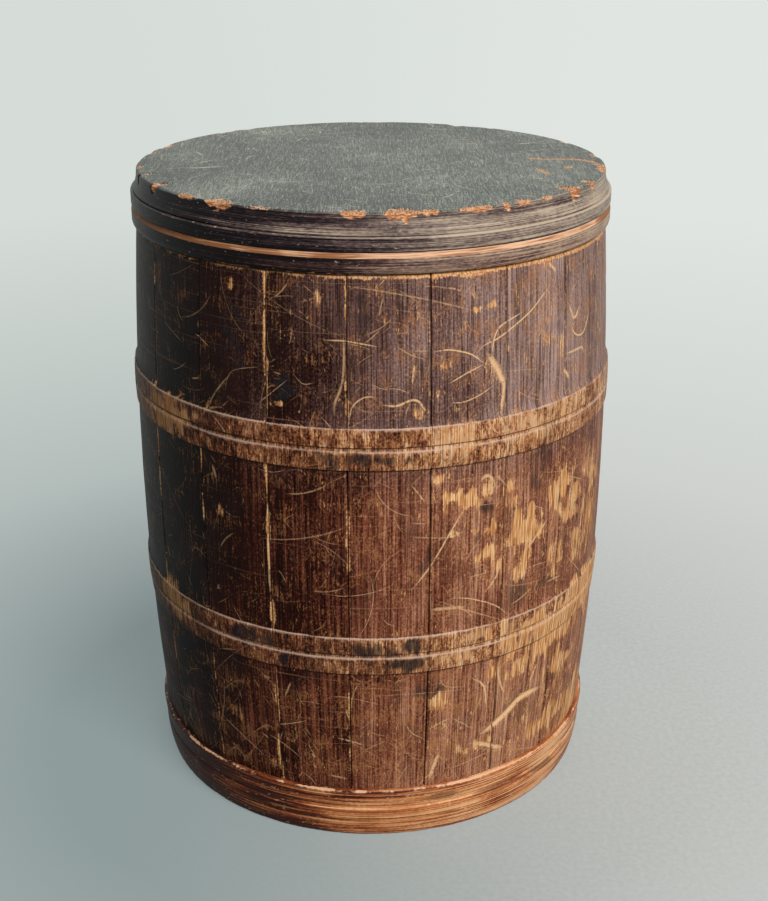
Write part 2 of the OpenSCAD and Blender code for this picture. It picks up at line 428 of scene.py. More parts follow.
# The stain is deeper at the right, below the upper hoops
DEEP_STAIN = 0.08

# A scratch is kept on the mesh out to its reach and fades before it. It tapers over a share of its length at
# each end, down to its thin end's share of its width, and is drawn at full strength over its core's share.
SCRATCH_LAYERS = 5
SCRATCH_REACH = 1.6
SCRATCH_FADE = 1.1
SCRATCH_TAPER = 0.2
SCRATCH_THIN_END = 0.3
SCRATCH_CORE = 0.3
LONGEST_SCRATCH = 34
# Half-widths of the seeded scratches on the staves: the thinnest, how much more most have, and the widest
THINNEST_HALF = 0.07
MORE_HALF = 0.08
WIDEST_HALF = 0.26

# Angles between which the sides and the back get seeded rubs and stains
SIDES_AND_BACK = (78, 284)
rng = random.Random(SEED)


def wandering_line(x, y, shortest, more, curl, parts):
    """A seeded curve from a place in millimetres, as long as the shortest and some more."""
    heading = rng.uniform(0, math.tau)
    length = min(shortest + rng.expovariate(1 / more), LONGEST_SCRATCH)
    bend = rng.gauss(0, curl)
    line = [(x, y)]
    for part in range(parts):
        x += length / parts * math.cos(heading)
        y += length / parts * math.sin(heading)
        heading += bend
        line.append((x, y))
    return smooth_line(line)


def random_scratches(count, left, right, low, high, strongest, shortest=4, more=8):
    """Seeded scratches that start between two angles and two heights, as half-width, strength and line."""
    made = []
    for number in range(count):
        across = unrolled(rng.uniform(left, right))
        line = wandering_line(across, rng.uniform(low, high), shortest, more, curl=0.16, parts=4)
        half = min(THINNEST_HALF + rng.expovariate(1 / MORE_HALF), WIDEST_HALF)
        made.append((half, strongest * rng.uniform(0.3, 1), line))
    return made


def random_patches(count, low, high, size, strongest):
    """Seeded rubs or stains, as strength, angle, height, half-width and half-height in millimetres."""
    made = []
    for number in range(count):
        angle = rng.uniform(*SIDES_AND_BACK)
        height = rng.uniform(low, high)
        half = size * rng.uniform(0.4, 1.2)
        strength = strongest * rng.uniform(0.35, 1) * (0.45 + 0.55 * handled(angle))
        made.append((strength, angle, height, half, half * rng.uniform(1, 3.2)))
    return made


def pixel_patches(marks, radius_at, round_r):
    """Marks given by pixels on a turned side, as strength, angle, height, half-width and half-height."""
    made = []
    for strength, (x, y), (half_x, half_y) in marks.values():
        left, right = (side_place(x + side * half_x, y, radius_at)[0] for side in (-1, 1))
        high, low = (side_place(x, y + side * half_y, radius_at)[1] for side in (-1, 1))
        angle, height = side_place(x, y, radius_at)
        made.append((strength, angle, height, math.radians(right - left) * round_r / 2, (high - low) / 2))
    return made


def wrapped(angles, middle):
    """Angles as differences from the middle one, within half a turn of it."""
    return (angles - middle + 180) % 360 - 180


def handled(angles):
    """How light each angle is left, from 0 where the stain is darkest to 1 across from there: partly the wear
    of handling, and partly painted shade of the side turned from the light.
    """
    dark = 0.5 + 0.5 * np.cos(np.radians(angles - DARK_SIDE_ANGLE))
    back = smoothstep(*BACK_ANGLES, np.abs(wrapped(angles, 0)))
    return 1 - dark * (1 - BACK_LIGHTER * back)


def unrolled(angles):
    """Millimetres round the keg's belly for angles."""
    return np.radians(angles) * belly_r


def on_staves(x, y):
    """Millimetres round the belly, and height, at which a pixel falls on the staves."""
    angle, height = side_place(x, y, stave_radius)
    return unrolled(angle), height


lower_z = foot_z + LOWER_PAIR[0]
upper_z = foot_z + UPPER_PAIR[0]
scratches = [
    (half, strength, smooth_line([on_staves(x, y) for x, y in pixels]))
    for half, strength, pixels in FRONT_SCRATCHES.values()
]
# Seeded ones all over the front, then on its dark left, up the three registers, and on the sides and back
scratches += random_scratches(60, -60, 70, foot_z, stave_top_z, 0.45)
scratches += random_scratches(90, -78, -14, foot_z, stave_top_z, 0.8, 1, 3)
scratches += random_scratches(70, -30, 78, foot_z, lower_z, 0.85, 2, 6)
scratches += random_scratches(60, -10, 78, lower_z + pair_h, upper_z, 0.75, 2, 6)
scratches += random_scratches(50, -10, 78, upper_z, stave_top_z, 0.6, 1, 4)
scratches += random_scratches(260, 78, 282, foot_z, stave_top_z, 0.75, 2, 7)
rubs = pixel_patches(FRONT_RUBS, stave_radius, belly_r)
rubs += random_patches(70, foot_z, stave_top_z, 3.2, 0.9)
stains = pixel_patches(FRONT_STAINS, stave_radius, belly_r)
stains += random_patches(40, foot_z, stave_top_z, 4.5, 0.6)


def scratch_marks(points, routes):
    """For each point and layer: signed distance to a scratch, its half-width there and its strength.
    Scratches that come close to each other go on different layers, so that each keeps a clean line."""
    layers = np.zeros((SCRATCH_LAYERS, len(points), 3))
    layers[:, :, 0] = 2 * SCRATCH_REACH
    taken = np.zeros((SCRATCH_LAYERS, len(points)), bool)
    for half, strength, line in routes:
        inside = (points > line.min(0) - SCRATCH_REACH) & (points < line.max(0) + SCRATCH_REACH)
        near = inside.all(1).nonzero()[0]
        if not len(near):
            continue
        gap, along = near_line(points[near], line)
        layer = taken[:, near[np.abs(gap) < SCRATCH_REACH]].sum(1).argmin()
        use = (np.abs(gap) < SCRATCH_REACH) & ~taken[layer, near]
        near, gap, along = near[use], gap[use], along[use]
        taper = np.clip(np.minimum(along, 1 - along) / SCRATCH_TAPER, 0, 1) ** 0.7
        fade = 1 - smoothstep(SCRATCH_FADE, SCRATCH_REACH, np.abs(gap))
        width = half * (SCRATCH_THIN_END + (1 - SCRATCH_THIN_END) * taper)
        layers[layer, near] = np.stack([gap, width, strength * taper * fade], 1)
        taken[layer, near] = True
    return layers


def patch_marks(points, patches, ragged):
    """How strongly patches cover each point. Ragged is noise that breaks their outlines."""
    cover = np.zeros(len(points))
    for strength, across, height, half_width, half_height in patches:
        if across + 2 * half_width < points[:, 0].min() or across - 2 * half_width > points[:, 0].max():
            continue
        off = np.hypot((points[:, 0] - across) / half_width, (points[:, 1] - height) / half_height)
        cover = np.maximum(cover, strength * (1 - smoothstep(0.4, 1.3, off + ragged)))
    return cover


def round_line(points, radius=CORNER, step=ROW):
    """An outline with its corners rounded and its straight runs parted into short ones."""
    points = [Vector(point) for point in points]
    soft = [points[0]]
    for before, corner, after in zip(points, points[1:], points[2:]):
        back = min(radius, CORNER_SHARE * (before - corner).length)
        on = min(radius, CORNER_SHARE * (after - corner).length)
        start = corner + (before - corner).normalized() * back
        end = corner + (after - corner).normalized() * on
        for t in (0, 0.25, 0.5, 0.75, 1):
            soft.append(start.lerp(corner, t).lerp(corner.lerp(end, t), t))
    soft.append(points[-1])
    fine = []
    for start, end in zip(soft, soft[1:]):
        count = max(1, math.ceil((end - start).length / step))
        fine += [start.lerp(end, k / count) for k in range(count)]
    return [tuple(point) for point in fine + [soft[-1]]]


def turned(outline, start, runs, closed, copies=1):
    """A bmesh of an outline of radii and heights, spun about the keg's axis from the start angle through runs
    of so many degrees in so many steps. Copies of that wedge fill the circle, or its two ends are faced."""
    shape = bmesh.new()
    corners = [shape.verts.new(at(radius, start, height)) for radius, height in outline]
    pairs = list(zip(corners, corners[1:]))
    if closed:
        pairs.append((corners[-1], corners[0]))
    first = [shape.edges.new(pair) for pair in pairs]
    ring = first
    for degrees, steps in runs:
        ends = {vert for edge in ring for vert in edge.verts}
        made = bmesh.ops.spin(shape, geom=list(ends) + ring, axis=(0, 0, 1), cent=(0, 0, 0),
                              angle=math.radians(degrees), steps=steps)
        ring = [item for item in made["geom_last"] if isinstance(item, bmesh.types.BMEdge)]
    if copies > 1:
        wedge = shape.verts[:] + shape.edges[:] + shape.faces[:]
        bmesh.ops.spin(shape, geom=wedge, axis=(0, 0, 1), cent=(0, 0, 0), use_duplicate=True,
                       angle=math.tau * (copies - 1) / copies, steps=copies - 1)
    else:
        bmesh.ops.contextual_create(shape, geom=first)
        bmesh.ops.contextual_create(shape, geom=ring)
    bmesh.ops.remove_doubles(shape, verts=shape.verts, dist=MERGE * MM)
    bmesh.ops.recalc_face_normals(shape, faces=shape.faces)
    return shape


def mesh_places(mesh):
    """Radius, angle and height of each of a mesh's points."""
    places = np.empty(len(mesh.vertices) * 3)
    mesh.vertices.foreach_get("co", places)
    x, y, z = places.reshape(-1, 3).T / MM
    return np.hypot(x, y), np.degrees(np.arctan2(x, -y)), z


def in_space(radius, angle, height):
    """Points in millimetres from their radius, angle and height."""
    turn = np.radians(angle)
    return np.stack([radius * np.sin(turn), -radius * np.cos(turn), height], 1)


def move_mesh(mesh, radius, angle, height):
    """Moves a mesh's points to their new radius, angle and height."""
    mesh.vertices.foreach_set("co", (in_space(radius, angle, height) * MM).ravel())
    mesh.update()


def write_marks(mesh, **marks):
    """Keeps values on a mesh's points, by name, for its material to read."""
    for name, values in marks.items():
        kind, part = ("FLOAT", "value") if values.ndim == 1 else ("FLOAT_VECTOR", "vector")
        kept = mesh.attributes.new(name, kind, "POINT")
        kept.data.foreach_set(part, values.astype(np.float32).ravel())


def finish_piece(name, mesh, body, materials, choose):
    """Makes the piece that stands for a node. Choose gives the faces' materials from the radii and heights of
    their middles and how far they face upwards."""
    for material in materials:
        mesh.materials.append(material)
    middles = np.empty(len(mesh.polygons) * 3)
    normals = np.empty(len(mesh.polygons) * 3)
    mesh.polygons.foreach_get("center", middles)
    mesh.polygons.foreach_get("normal", normals)
    x, y, z = middles.reshape(-1, 3).T / MM
    mesh.polygons.foreach_set("material_index", choose(np.hypot(x, y), z, normals[2::3]))
    mesh.shade_smooth()
    mesh.set_sharp_from_angle(angle=math.radians(SHARP_ANGLE))
    piece = bpy.data.objects.new(name + "_wood", mesh)
    bpy.context.scene.collection.objects.link(piece)
    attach(piece, body)
    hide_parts(name)


def belly_run(low, high):
    """Points up the staves' outer face between two heights."""
    count = max(1, round((high - low) / ROW))
    return [(stave_radius(height), height) for height in np.linspace(low, high, count + 1)]


def hoop_run(up, out):
    """Points up a pair of hoops, from its foot to the top of the soft cove above its lip."""
    foot = foot_z + up
    ledge = foot + HOOP_FACE
    upper = ledge + HOOP_LEDGE
    lip = foot + pair_h
    line = round_line([
        (stave_radius(foot), foot),
        (stave_radius(foot) + out - HOOP_LEAN, foot),
        (stave_radius(ledge) + out, ledge),
        (stave_radius(upper) + out - HOOP_CUT, upper),
        (stave_radius(upper) + out, upper + HOOP_EDGE),
        (stave_radius(lip) + out, lip),
        (stave_radius(lip) + out * COVE_START_OUT, lip + COVE_START),
    ])
    for share in (0.25, 0.4, 0.55, 0.7, 0.85, 1):
        height = lip + HOOP_COVE * share
        line.append((stave_radius(height) + out * (1 - share) ** 2 * COVE_HOLLOW, height))
    return line


def stave_outline():
    """Closed outline of a stave: up its outer face, over its end and down the bore."""
    line = []
    low = foot_z
    for up, out in (LOWER_PAIR, UPPER_PAIR):
        foot = foot_z + up
        line += belly_run(low, foot - FACE_STOP) + hoop_run(up, out)
        low = foot + pair_h + HOOP_COVE + FACE_START
    line += belly_run(low, stave_top_z)
    return line + round_line([(bore_r, stave_top_z), (bore_r, foot_z)], step=BORE_STEP)


def hoop_cover(height, soft=0.15):
    """How far each height lies on a pair of hoops, from 0 to 1, with a soft edge."""
    cover = np.zeros(len(height))
    for up, out in (LOWER_PAIR, UPPER_PAIR):
        foot = foot_z + up
        lip = foot + pair_h
        above_foot = smoothstep(foot - soft, foot + soft, height)
        cover += above_foot * (1 - smoothstep(lip - soft, lip + soft, height))
    return cover


# The grain of each stave is taken this far along the pattern from the one before, in millimetres
GRAIN_APART = 47
# Wear stays this far clear of the bore
BORE_CLEAR = 2
# How much of a seam's groove the hoops fill
GROOVE_FILLED = 0.75


def make_stave(number, name, materials):
    """One stave, with half a groove along each joint, worn hoop lips and a worn upper end."""
    start = FIRST_SEAM + number * pitch
    middle = start + pitch / 2
    zone = math.degrees(GROOVE_ZONE / belly_r)
    runs = [(zone, GROOVE_STEPS), (pitch - 2 * zone, STAVE_STEPS), (zone, GROOVE_STEPS)]
    shape = turned(stave_outline(), start, runs, closed=True)
    mesh = bpy.data.meshes.new(name)
    shape.to_mesh(mesh)
    shape.free()

    radius, angle, height = mesh_places(mesh)
    across = unrolled(wrapped(angle, middle))
    half = unrolled(pitch / 2)
    outside = radius > bore_r + BORE_CLEAR
    points = np.stack([across, height], 1)
    solid = np.stack([across + GRAIN_APART * number, radius, height], 1)
    space = in_space(radius, angle, height)
    hoop = hoop_cover(height)
    near_hoop = hoop_cover(height, soft=0.6)

    # Grooves and worn edges along the two joints, with painted shade down the grooves
    edge = np.zeros(len(radius))
    cut = np.zeros(len(radius))
    grime = np.zeros(len(radius))
    lip = np.zeros(len(radius))
    for side, seam in ((-1, number), (1, number + 1)):
        seam = (seam + len(staves) // 2) % len(staves) - len(staves) // 2
        seam_rng = random.Random(seam)
        usual = (seam_rng.uniform(0.25, 0.4), seam_rng.uniform(0.3, 0.6), seam_rng.uniform(0.3, 0.9))
        width, depth, worn = SEAM_LOOKS.get(seam, usual)
        gap = np.abs(across - side * half)
        groove = (1 - GROOVE_FILLED * near_hoop) * (1 - smoothstep(0, width, gap))
        cut += depth * groove
        grime += groove
        wander = np.clip(0.45 + 0.8 * field(solid, 8, seed=3) + 0.3 * field(solid, 2, seed=9), 0, 1.4)
        worn_to = width + 0.1 + 0.55 * worn * wander
        edge += worn * wander * (1 - smoothstep(width, worn_to, gap)) * (1 - hoop)

    # Worn upper end, hoop lips worn and given painted highlights, and painted shade under the collar, at the
    # staves' feet and along the hoops' lower edges
    side_wear = smoothstep(-10, 55, np.abs(wrapped(angle, DARK_SIDE_ANGLE)) - 90)
    down = stave_top_z - height
    ragged = field(solid, 1.6, seed=8)
    end_wear = 1 + 0.8 * field(solid, 5, seed=5)
    end_reach = 0.7 + 0.6 * side_wear + 0.6 * ragged
    end_reach += (0.4 + side_wear) * np.clip(field(solid, 6, seed=7), 0, 1)
    cut += 0.4 * end_wear * (1 - smoothstep(0, 0.7, down))
    edge += (1 + 0.4 * side_wear) * (1 - smoothstep(0.4 * end_reach, np.maximum(end_reach, 0.3) + 0.25, down))
    # Painted shade in the gap under the collar and where the staves stand on the base
    grime += 1.2 * (1 - smoothstep(0.03, 0.22, down)) + 0.6 * (1 - smoothstep(0, 0.4, height - foot_z))
    edge += 0.4 * (1 - smoothstep(0, 0.8, height - foot_z))
    for foot in (lower_z, upper_z):
        ledge = foot + HOOP_FACE
        for rim in (foot + pair_h, ledge):
            close = 1 - smoothstep(0.1, 0.45, np.abs(height - rim))
            nibble = np.clip(field(solid, 2.5, seed=2) + 0.5 * ragged, 0, 1)
            cut += 0.22 * nibble * close
            # A pale line along each lip and the ledge's edge, partly wear and partly a painted highlight
            lip_wear = 0.8 + 0.4 * field(space, 1.6, seed=8) + 0.5 * field(space, 9, seed=16)
            lip += lip_wear * (1 - smoothstep(0.04, 0.3, np.abs(height - rim + 0.06)))
        # A paler strip on the upward-facing ledge, a painted highlight
        above_ledge = smoothstep(ledge, ledge + 0.1, height)
        lip += 0.4 * above_ledge * (1 - smoothstep(ledge + 0.6, ledge + 0.8, height))
        # Painted shade under each pair's foot and under the upper hoop's lower edge
        for corner in (foot - 0.12, ledge + HOOP_LEDGE - 0.08):
            grime += 0.9 * (1 - smoothstep(0.04, 0.26, np.abs(height - corner)))

    # Scratches, rubs and stains
    local = []
    for half_width, strength, line in scratches:
        line_middle = np.degrees(line[:, 0].mean() / belly_r)
        shift = unrolled(wrapped(line_middle, middle) - line_middle)
        local.append((half_width, strength, line + (shift, 0)))
    layers = scratch_marks(points, local)
    for layer in layers:
        deep = np.clip(layer[:, 1] - 0.3, 0, 1) * layer[:, 2]
        cut += 0.5 * deep * (1 - smoothstep(0, 1, np.abs(layer[:, 0]) / np.maximum(layer[:, 1], 0.01)))
    combed = field(solid * (1, 1, 0.22), 1.1, seed=1)
    torn = field(solid, 2.6, seed=4)
    marks = []
    for patches, spread in ((rubs, 0.7 * combed + 0.7 * torn), (stains, 0.5 * combed + torn)):
        near = [(strength, unrolled(wrapped(turn, middle)), *rest) for strength, turn, *rest in patches]
        marks.append(patch_marks(points, near, spread))
    rub, stain = marks
    cut += 0.1 * rub + 0.05 * (1 + field(solid, 7, seed=6))
    rub += WORN_SIDE_RUB * side_wear

    # Lightness of the stain, a little different on each stave, with painted shade on the dark side and a
    # deeper stain at the right below the upper hoops
    deep_stain = smoothstep(20, 42, angle) * (1 - smoothstep(75, 110, angle)) * (height < upper_z)
    tone = 0.06 * random.Random(number + 40).uniform(-1, 1) - DARK_SIDE_TONE * (1 - handled(angle))
    tone -= DEEP_STAIN * deep_stain
    write_marks(mesh, grain=solid, hoop=hoop, edge=np.clip(edge, 0, 1.5), rub=rub, stain=stain, tone=tone,
                grime=np.clip(grime, 0, 1.3), lip=lip)
    for index, layer in enumerate(layers):
        write_marks(mesh, **{f"scratch_{index}": layer})
    move_mesh(mesh, np.where(outside, radius - np.maximum(cut, 0), radius), angle, height)

    def choose(face_radius, face_height, upward):
        return np.where((face_radius > bore_r + WALL / 2) & (np.abs(upward) < 0.95), 0, 1)

    finish_piece(name, mesh, "keg", materials, choose)


def make_turned(name, outline, closed, body, materials, choose, wear):
    """A turned piece: its outline spun full circle, worn by wear and given its marks."""
    shape = turned(outline, BACK_ANGLE, [(360 / TURN_WEDGES, WEDGE_STEPS)], closed, copies=TURN_WEDGES)
    mesh = bpy.data.meshes.new(name)
    shape.to_mesh(mesh)
    shape.free()
    radius, angle, height = mesh_places(mesh)
    wear(mesh, radius, angle, height)
    finish_piece(name, mesh, body, materials, choose)


def base_outline():
    """Base from the middle of its foot, up its two mouldings and over the spigot."""
    side_r = base_r - BASE_LEAN
    line_r = side_r - BASE_LINE_DEPTH
    centre_r = side_r - BASE_CURVE_R
    curve = []
    for share in np.linspace(0, 1, 14):
        height = FOOT_EDGE + (BASE_LINE_Z - BASE_LINE_SOFT - FOOT_EDGE) * share
        curve.append((centre_r + math.sqrt(BASE_CURVE_R ** 2 - (BASE_LINE_Z - height) ** 2), height))
    spigot_r = bore_r - SPIGOT_GAP
    foot_r = curve[0][0] - FOOT_EDGE
    side = round_line([
        (foot_r, 0),
        *curve,
        (line_r, BASE_LINE_Z),
        (side_r, BASE_LINE_Z + BASE_LINE_RISE),
        (base_r, foot_z - BASE_EDGE),
        (base_r - BASE_EDGE, foot_z),
        (MOUTH_R - 2.5, foot_z),
    ], step=0.6)
    floor_rings = [(radius, 0) for radius in (0, 20, 40, 55)]
    spigot = [(spigot_r, foot_z), (spigot_r, spigot_z - SPIGOT_EDGE), (spigot_r - SPIGOT_EDGE, spigot_z)]
    return floor_rings + side + spigot + [(radius, spigot_z) for radius in (40, 20, 0)]


def collar_outline():
    """Closed ring of the collar: a bead below, a plain face and the bare chamfer under the lid."""
    bead = []
    for turn in (0, 20, 40, 60, 80):
        swell = math.radians(turn)
        radius = MOUTH_R + (collar_r - MOUTH_R) * math.sin(swell)
        bead.append((radius, stave_top_z + COLLAR_BEAD * (1 - math.cos(swell))))
    return round_line([
        (bore_r, stave_top_z),
        *bead,
        (collar_r, stave_top_z + COLLAR_BEAD + 0.4),
        (collar_r, lid_z - BARE_BAND),
        (collar_r - BARE_BAND_IN, lid_z),
        (bore_r + 3, lid_z),
        (bore_r, lid_z - 0.3),
        (bore_r, stave_top_z + 0.3),
    ], radius=0.12, step=0.5)


def lid_outline():
    """Lid from the middle of its plug, out round the rim and the coved cap and in over its top."""
    plug_r = bore_r - PLUG_GAP
    cove = []
    for share in np.linspace(0, 1, 10):
        height = cap_z + 0.2 + (top_z - 0.75 - cap_z) * share
        cove.append((top_r + (CAP_LEAN - 0.06) * (1 - share) ** 2.3, height))
    side = round_line([
        (plug_r - PLUG_LEAD, plug_z),
        (plug_r, plug_z + PLUG_LEAD),
        (plug_r, lid_z),
        (rim_r - RIM_FOOT_EDGE, lid_z),
        (rim_r, lid_z + RIM_FOOT_EDGE),
        (rim_r, cap_z - 0.4),
        (rim_r - 0.3, cap_z),
        (cap_r - 0.3, cap_z - 0.1),
        *cove,
        (top_r - TOP_EDGE, top_z),
        (top_r - 3, top_z),
    ], radius=0.18, step=0.45)
    top_rings = [(radius, top_z) for radius in np.linspace(top_r - 4, 0, TOP_RINGS)]
    return [(0, plug_z), (25, plug_z)] + side + top_rings


# The lid's chipped edge: each chip has the pixel at its middle, its half-width in pixels and its depth
LID_CHIPS = {
    "left end": ((145, 174), 10, 1.3),
    "left": ((157, 184), 12, 1.3),
    "long run, left": ((190, 194), 22, 0.45),
    "left middle": ((223, 200), 20, 1.1),
    "thin run": ((262, 205), 16, 0.3),
    "middle": ((355, 212), 15, 0.8),
    "largest": ((402, 213), 19, 1.3),
    "right of the largest": ((432, 211), 12, 0.6),
    "long run, right": ((478, 206), 24, 0.5),
    "dark nick": ((503, 202), 5, 0.9),
    "right": ((518, 199), 10, 0.7),
    "thin run, right": ((542, 195), 12, 0.35),
    "wedge": ((572, 188), 19, 1.5),
    "wedge's end": ((590, 181), 14, 1.2),
    "far right": ((603, 168), 11, 1),
}
# Places on the lid's top that are split or dented through to bare wood
LID_SPLITS = {
    "split at the right": [(531, 158), (550, 159), (575, 159), (594, 162), (604, 169)],
    "dent at the right": [(539, 169), (544, 171), (549, 174)],
    "nick by the dent": [(565, 168), (571, 166)],
}
LID_SCRATCHES = {
    "pale bar": (0.7, 0.9, [(188, 168), (206, 167), (224, 166)]),
    "curl": (0.5, 0.6, [(187, 152), (197, 152), (204, 156)]),
    "dash": (0.4, 0.6, [(196, 163), (206, 161), (215, 159)]),
    "light in the split": (0.4, 0.7, [(529, 158), (550, 159), (575, 159), (594, 162), (604, 169)]),
    "short bar at the right": (0.6, 0.9, [(515, 144), (526, 143), (538, 142)]),
    "line at the back": (0.5, 0.6, [(425, 128), (440, 129), (454, 129)]),
    "light in the dent": (0.4, 0.7, [(537, 169), (543, 172), (549, 174)]),
    "tick at the front": (0.3, 0.7, [(440, 198), (450, 195), (456, 192)]),
    "tick, front right": (0.3, 0.7, [(556, 185), (564, 180)]),
    "long faint line": (0.35, 0.4, [(284, 136), (330, 133), (372, 131)]),
}
# Seeded chips round the back of the lid's edge
LID_SEEDED_CHIPS = 14
# Seeded scratches on the lid's top, and how far from its middle they start
LID_SEEDED = 180
LID_FIELD = 56
# The front of the lid's side is paler round this angle, partly rubbed and partly a painted sheen
RUBBED_FRONT = -6
RUBBED_FRONT_HALF = 22
lid_chip_angles = []
for (chip_x, chip_y), chip_half, chip_depth in LID_CHIPS.values():
    chip_left, chip_right = (lid_place(chip_x + side * chip_half, chip_y) for side in (-1, 1))
    chip_angles = [math.degrees(math.atan2(x, -y)) for x, y in (chip_left, chip_right)]
    lid_chip_angles.append((sum(chip_angles) / 2, abs(chip_angles[1] - chip_angles[0]) / 2, chip_depth))
for chip in range(LID_SEEDED_CHIPS):
    lid_chip_angles.append((rng.uniform(75, 285), rng.uniform(1, 6), rng.uniform(0.2, 0.8)))


def wear_lid(mesh, radius, angle, height):
    """Chips the lid's upper edge, dips its side and top a little, and marks its scratches, a line of painted
    shade above the band, and how light or dark it is: a front that is rubbed and given a painted sheen,
    painted light at the cove's foot, painted glints on its corners and painted shade on its dark side.
    """
    space = in_space(radius, angle, height)
    places = space[:, :2]
    ragged = field(space, 1.4, seed=11) + 0.5 * field(space, 0.6, seed=12)
    chip = np.zeros(len(radius))
    for middle, half, depth in lid_chip_angles:
        off = np.abs(wrapped(angle, middle)) / half
        chip = np.maximum(chip, depth * (1 - smoothstep(0.5, 1.15, off + 0.3 * ragged)))
    chip = np.maximum(chip, 0.12 * np.clip(field(space, 5, seed=13) + 0.5 * ragged + 0.2, 0, 1))
    from_edge = np.hypot(0.45 * (radius - top_r), 0.85 * (height - top_z))
    reach = 0.35 + 1.6 * chip + 1.1 * ragged * chip
    on_edge = (1 - smoothstep(0.35 * reach, np.maximum(reach, 0.05), from_edge)) * (height > cap_z)
    cut = 0.55 * chip * on_edge * (0.8 + 0.5 * ragged)
    drop = 0.7 * cut * (1 - smoothstep(0, 1.2, top_z - height))
    dip = 0.04 * (1 + field(space, 11, seed=14)) * (radius > bore_r)
    edge = on_edge * smoothstep(0.1, 0.45, chip)
    rim_corner = 1 - smoothstep(0.1, 0.5, np.hypot(radius - rim_r + 0.15, height - cap_z + 0.15))
    top_corner = 1 - smoothstep(0.1, 0.5, np.hypot(radius - top_r + 0.2, height - top_z + 0.2))
    edge += 0.35 * rim_corner * (0.6 + 0.7 * ragged)
    on_top = height > top_z - 0.3
    for pixels in LID_SPLITS.values():
        gap, along = near_line(places, smooth_line([lid_place(x, y) for x, y in pixels]))
        edge = np.maximum(edge, on_top * 0.8 * (1 - smoothstep(0.3, 1.3, np.abs(gap) + 0.5 * ragged)))
    routes = [(half, strength, smooth_line([lid_place(x, y) for x, y in pixels]))
              for half, strength, pixels in LID_SCRATCHES.values()]
    for number in range(LID_SEEDED):
        x, y = rng.uniform(-LID_FIELD, LID_FIELD), rng.uniform(-LID_FIELD, LID_FIELD)
        line = wandering_line(x, y, shortest=2, more=4, curl=0.2, parts=3)
        routes.append((rng.uniform(0.12, 0.34), rng.uniform(0.25, 0.8), line))
    layers = scratch_marks(places, routes)
    for index, layer in enumerate(layers):
        layer[:, 2] *= on_top
        write_marks(mesh, **{f"scratch_{index}": layer})
    # A line of painted shade along the rim's foot, just above the band
    grime = 1 - smoothstep(0.1, 0.5, height - lid_z)
    # A paler front, partly rubbed and partly a painted sheen
    rubbed_front = 0.07 * np.exp(-((angle - RUBBED_FRONT) / RUBBED_FRONT_HALF) ** 2)
    up_the_cap = (height - cap_z) / (top_z - cap_z)
    # Painted light at the foot of the cap's cove, fading up the cap
    on_cap = 0.22 * (0.55 - up_the_cap)
    on_rim = 0.17 * smoothstep(-2, 22, angle) - 0.12
    # Painted glints along the rim's upper corner and the top's edge
    glint = (0.26 + 0.1 * smoothstep(-10, 30, angle)) * rim_corner + 0.2 * top_corner
    tone = rubbed_front + np.where(height > cap_z, on_cap, on_rim) + glint + 0.11
    # Painted shade on the dark side
    tone -= 0.72 * (1 - handled(angle))
    write_marks(mesh, grain=space, edge=edge, grime=grime, tone=tone)
    outside = radius > bore_r
    drop += on_top * (0.02 + 0.05 * (1 + field(space, 15, seed=15)))
    move_mesh(mesh, radius - np.where(outside, cut + dip * (height < top_z - 0.3), 0), angle, height - drop)


# The collar is made paler round this angle
RUBBED_COLLAR = 23
RUBBED_COLLAR_HALF = 14


def wear_collar(mesh, radius, angle, height):
    """Nicks the collar's bead, dips its side a little, and marks its worn edges, a line of painted shade where
    it meets the staves, a bare band made darker toward the right, and how light or dark it is, with painted
    shade on its dark side.
    """
    space = in_space(radius, angle, height)
    ragged = field(space, 1.5, seed=21) + 0.5 * field(space, 0.7, seed=22)
    low = 1 - smoothstep(0, 0.9, height - stave_top_z)
    band = 1 - smoothstep(0, 0.3, np.abs(height - (lid_z - BARE_BAND)))
    side = radius > bore_r + WALL / 2
    worn = 0.7 + 0.25 * np.sin(np.radians(angle)) + 0.6 * field(space, 12, seed=23)
    edge = side * (low * (worn + 0.4 * ragged) + 0.3 * band)
    cut = side * (0.03 * (1 + field(space, 6, seed=24)) + 0.18 * low * np.clip(ragged, 0, 1))
    # A line of painted shade where the collar meets the staves
    grime = 1 - smoothstep(0, 0.25, np.abs(height - stave_top_z))
    # The bare band is made darker toward the right
    grime += 0.9 * (height > lid_z - BARE_BAND) * smoothstep(40, 75, angle)
    # Paler round the angle given above
    rubbed = 0.07 * np.exp(-((angle - RUBBED_COLLAR) / RUBBED_COLLAR_HALF) ** 2)
    # Darker on the dark side, as painted shade
    write_marks(mesh, grain=space, edge=np.clip(edge, 0, 1.5), grime=grime,
                tone=0.18 + rubbed - 1.1 * (1 - handled(angle)))
    move_mesh(mesh, radius - cut, angle, height)


# Marks on the base: strength, middle, and half-width and half-height in pixels
BASE_RUBS = {
    "amber front": (0.8, (385, 812), (95, 24)),
    "amber, left of the front": (0.5, (330, 806), (30, 12)),
    "amber, right of the front": (0.4, (460, 808), (30, 12)),
    "far right": (0.5, (545, 770), (16, 20)),
    "left foot": (0.4, (255, 806), (20, 8)),
}
BASE_STAINS = {
    "right patch": (0.7, (441, 795), (17, 4)),
    "right streak": (0.6, (500, 785), (24, 4)),
    "far right streak": (0.6, (540, 765), (14, 5)),
    "low right patch": (0.5, (455, 811), (20, 3)),
    "left patch": (0.4, (270, 790), (30, 6)),
}
# How far the base's side lies in from its upper edge, where these marks are
BASE_SIDE_IN = 0.6
# Seeded rubs, and as many stains, on the base
BASE_SEEDED = 14


def base_side_radius(height):
    """Radius of the base's side, taken as upright."""
    return base_r - BASE_SIDE_IN


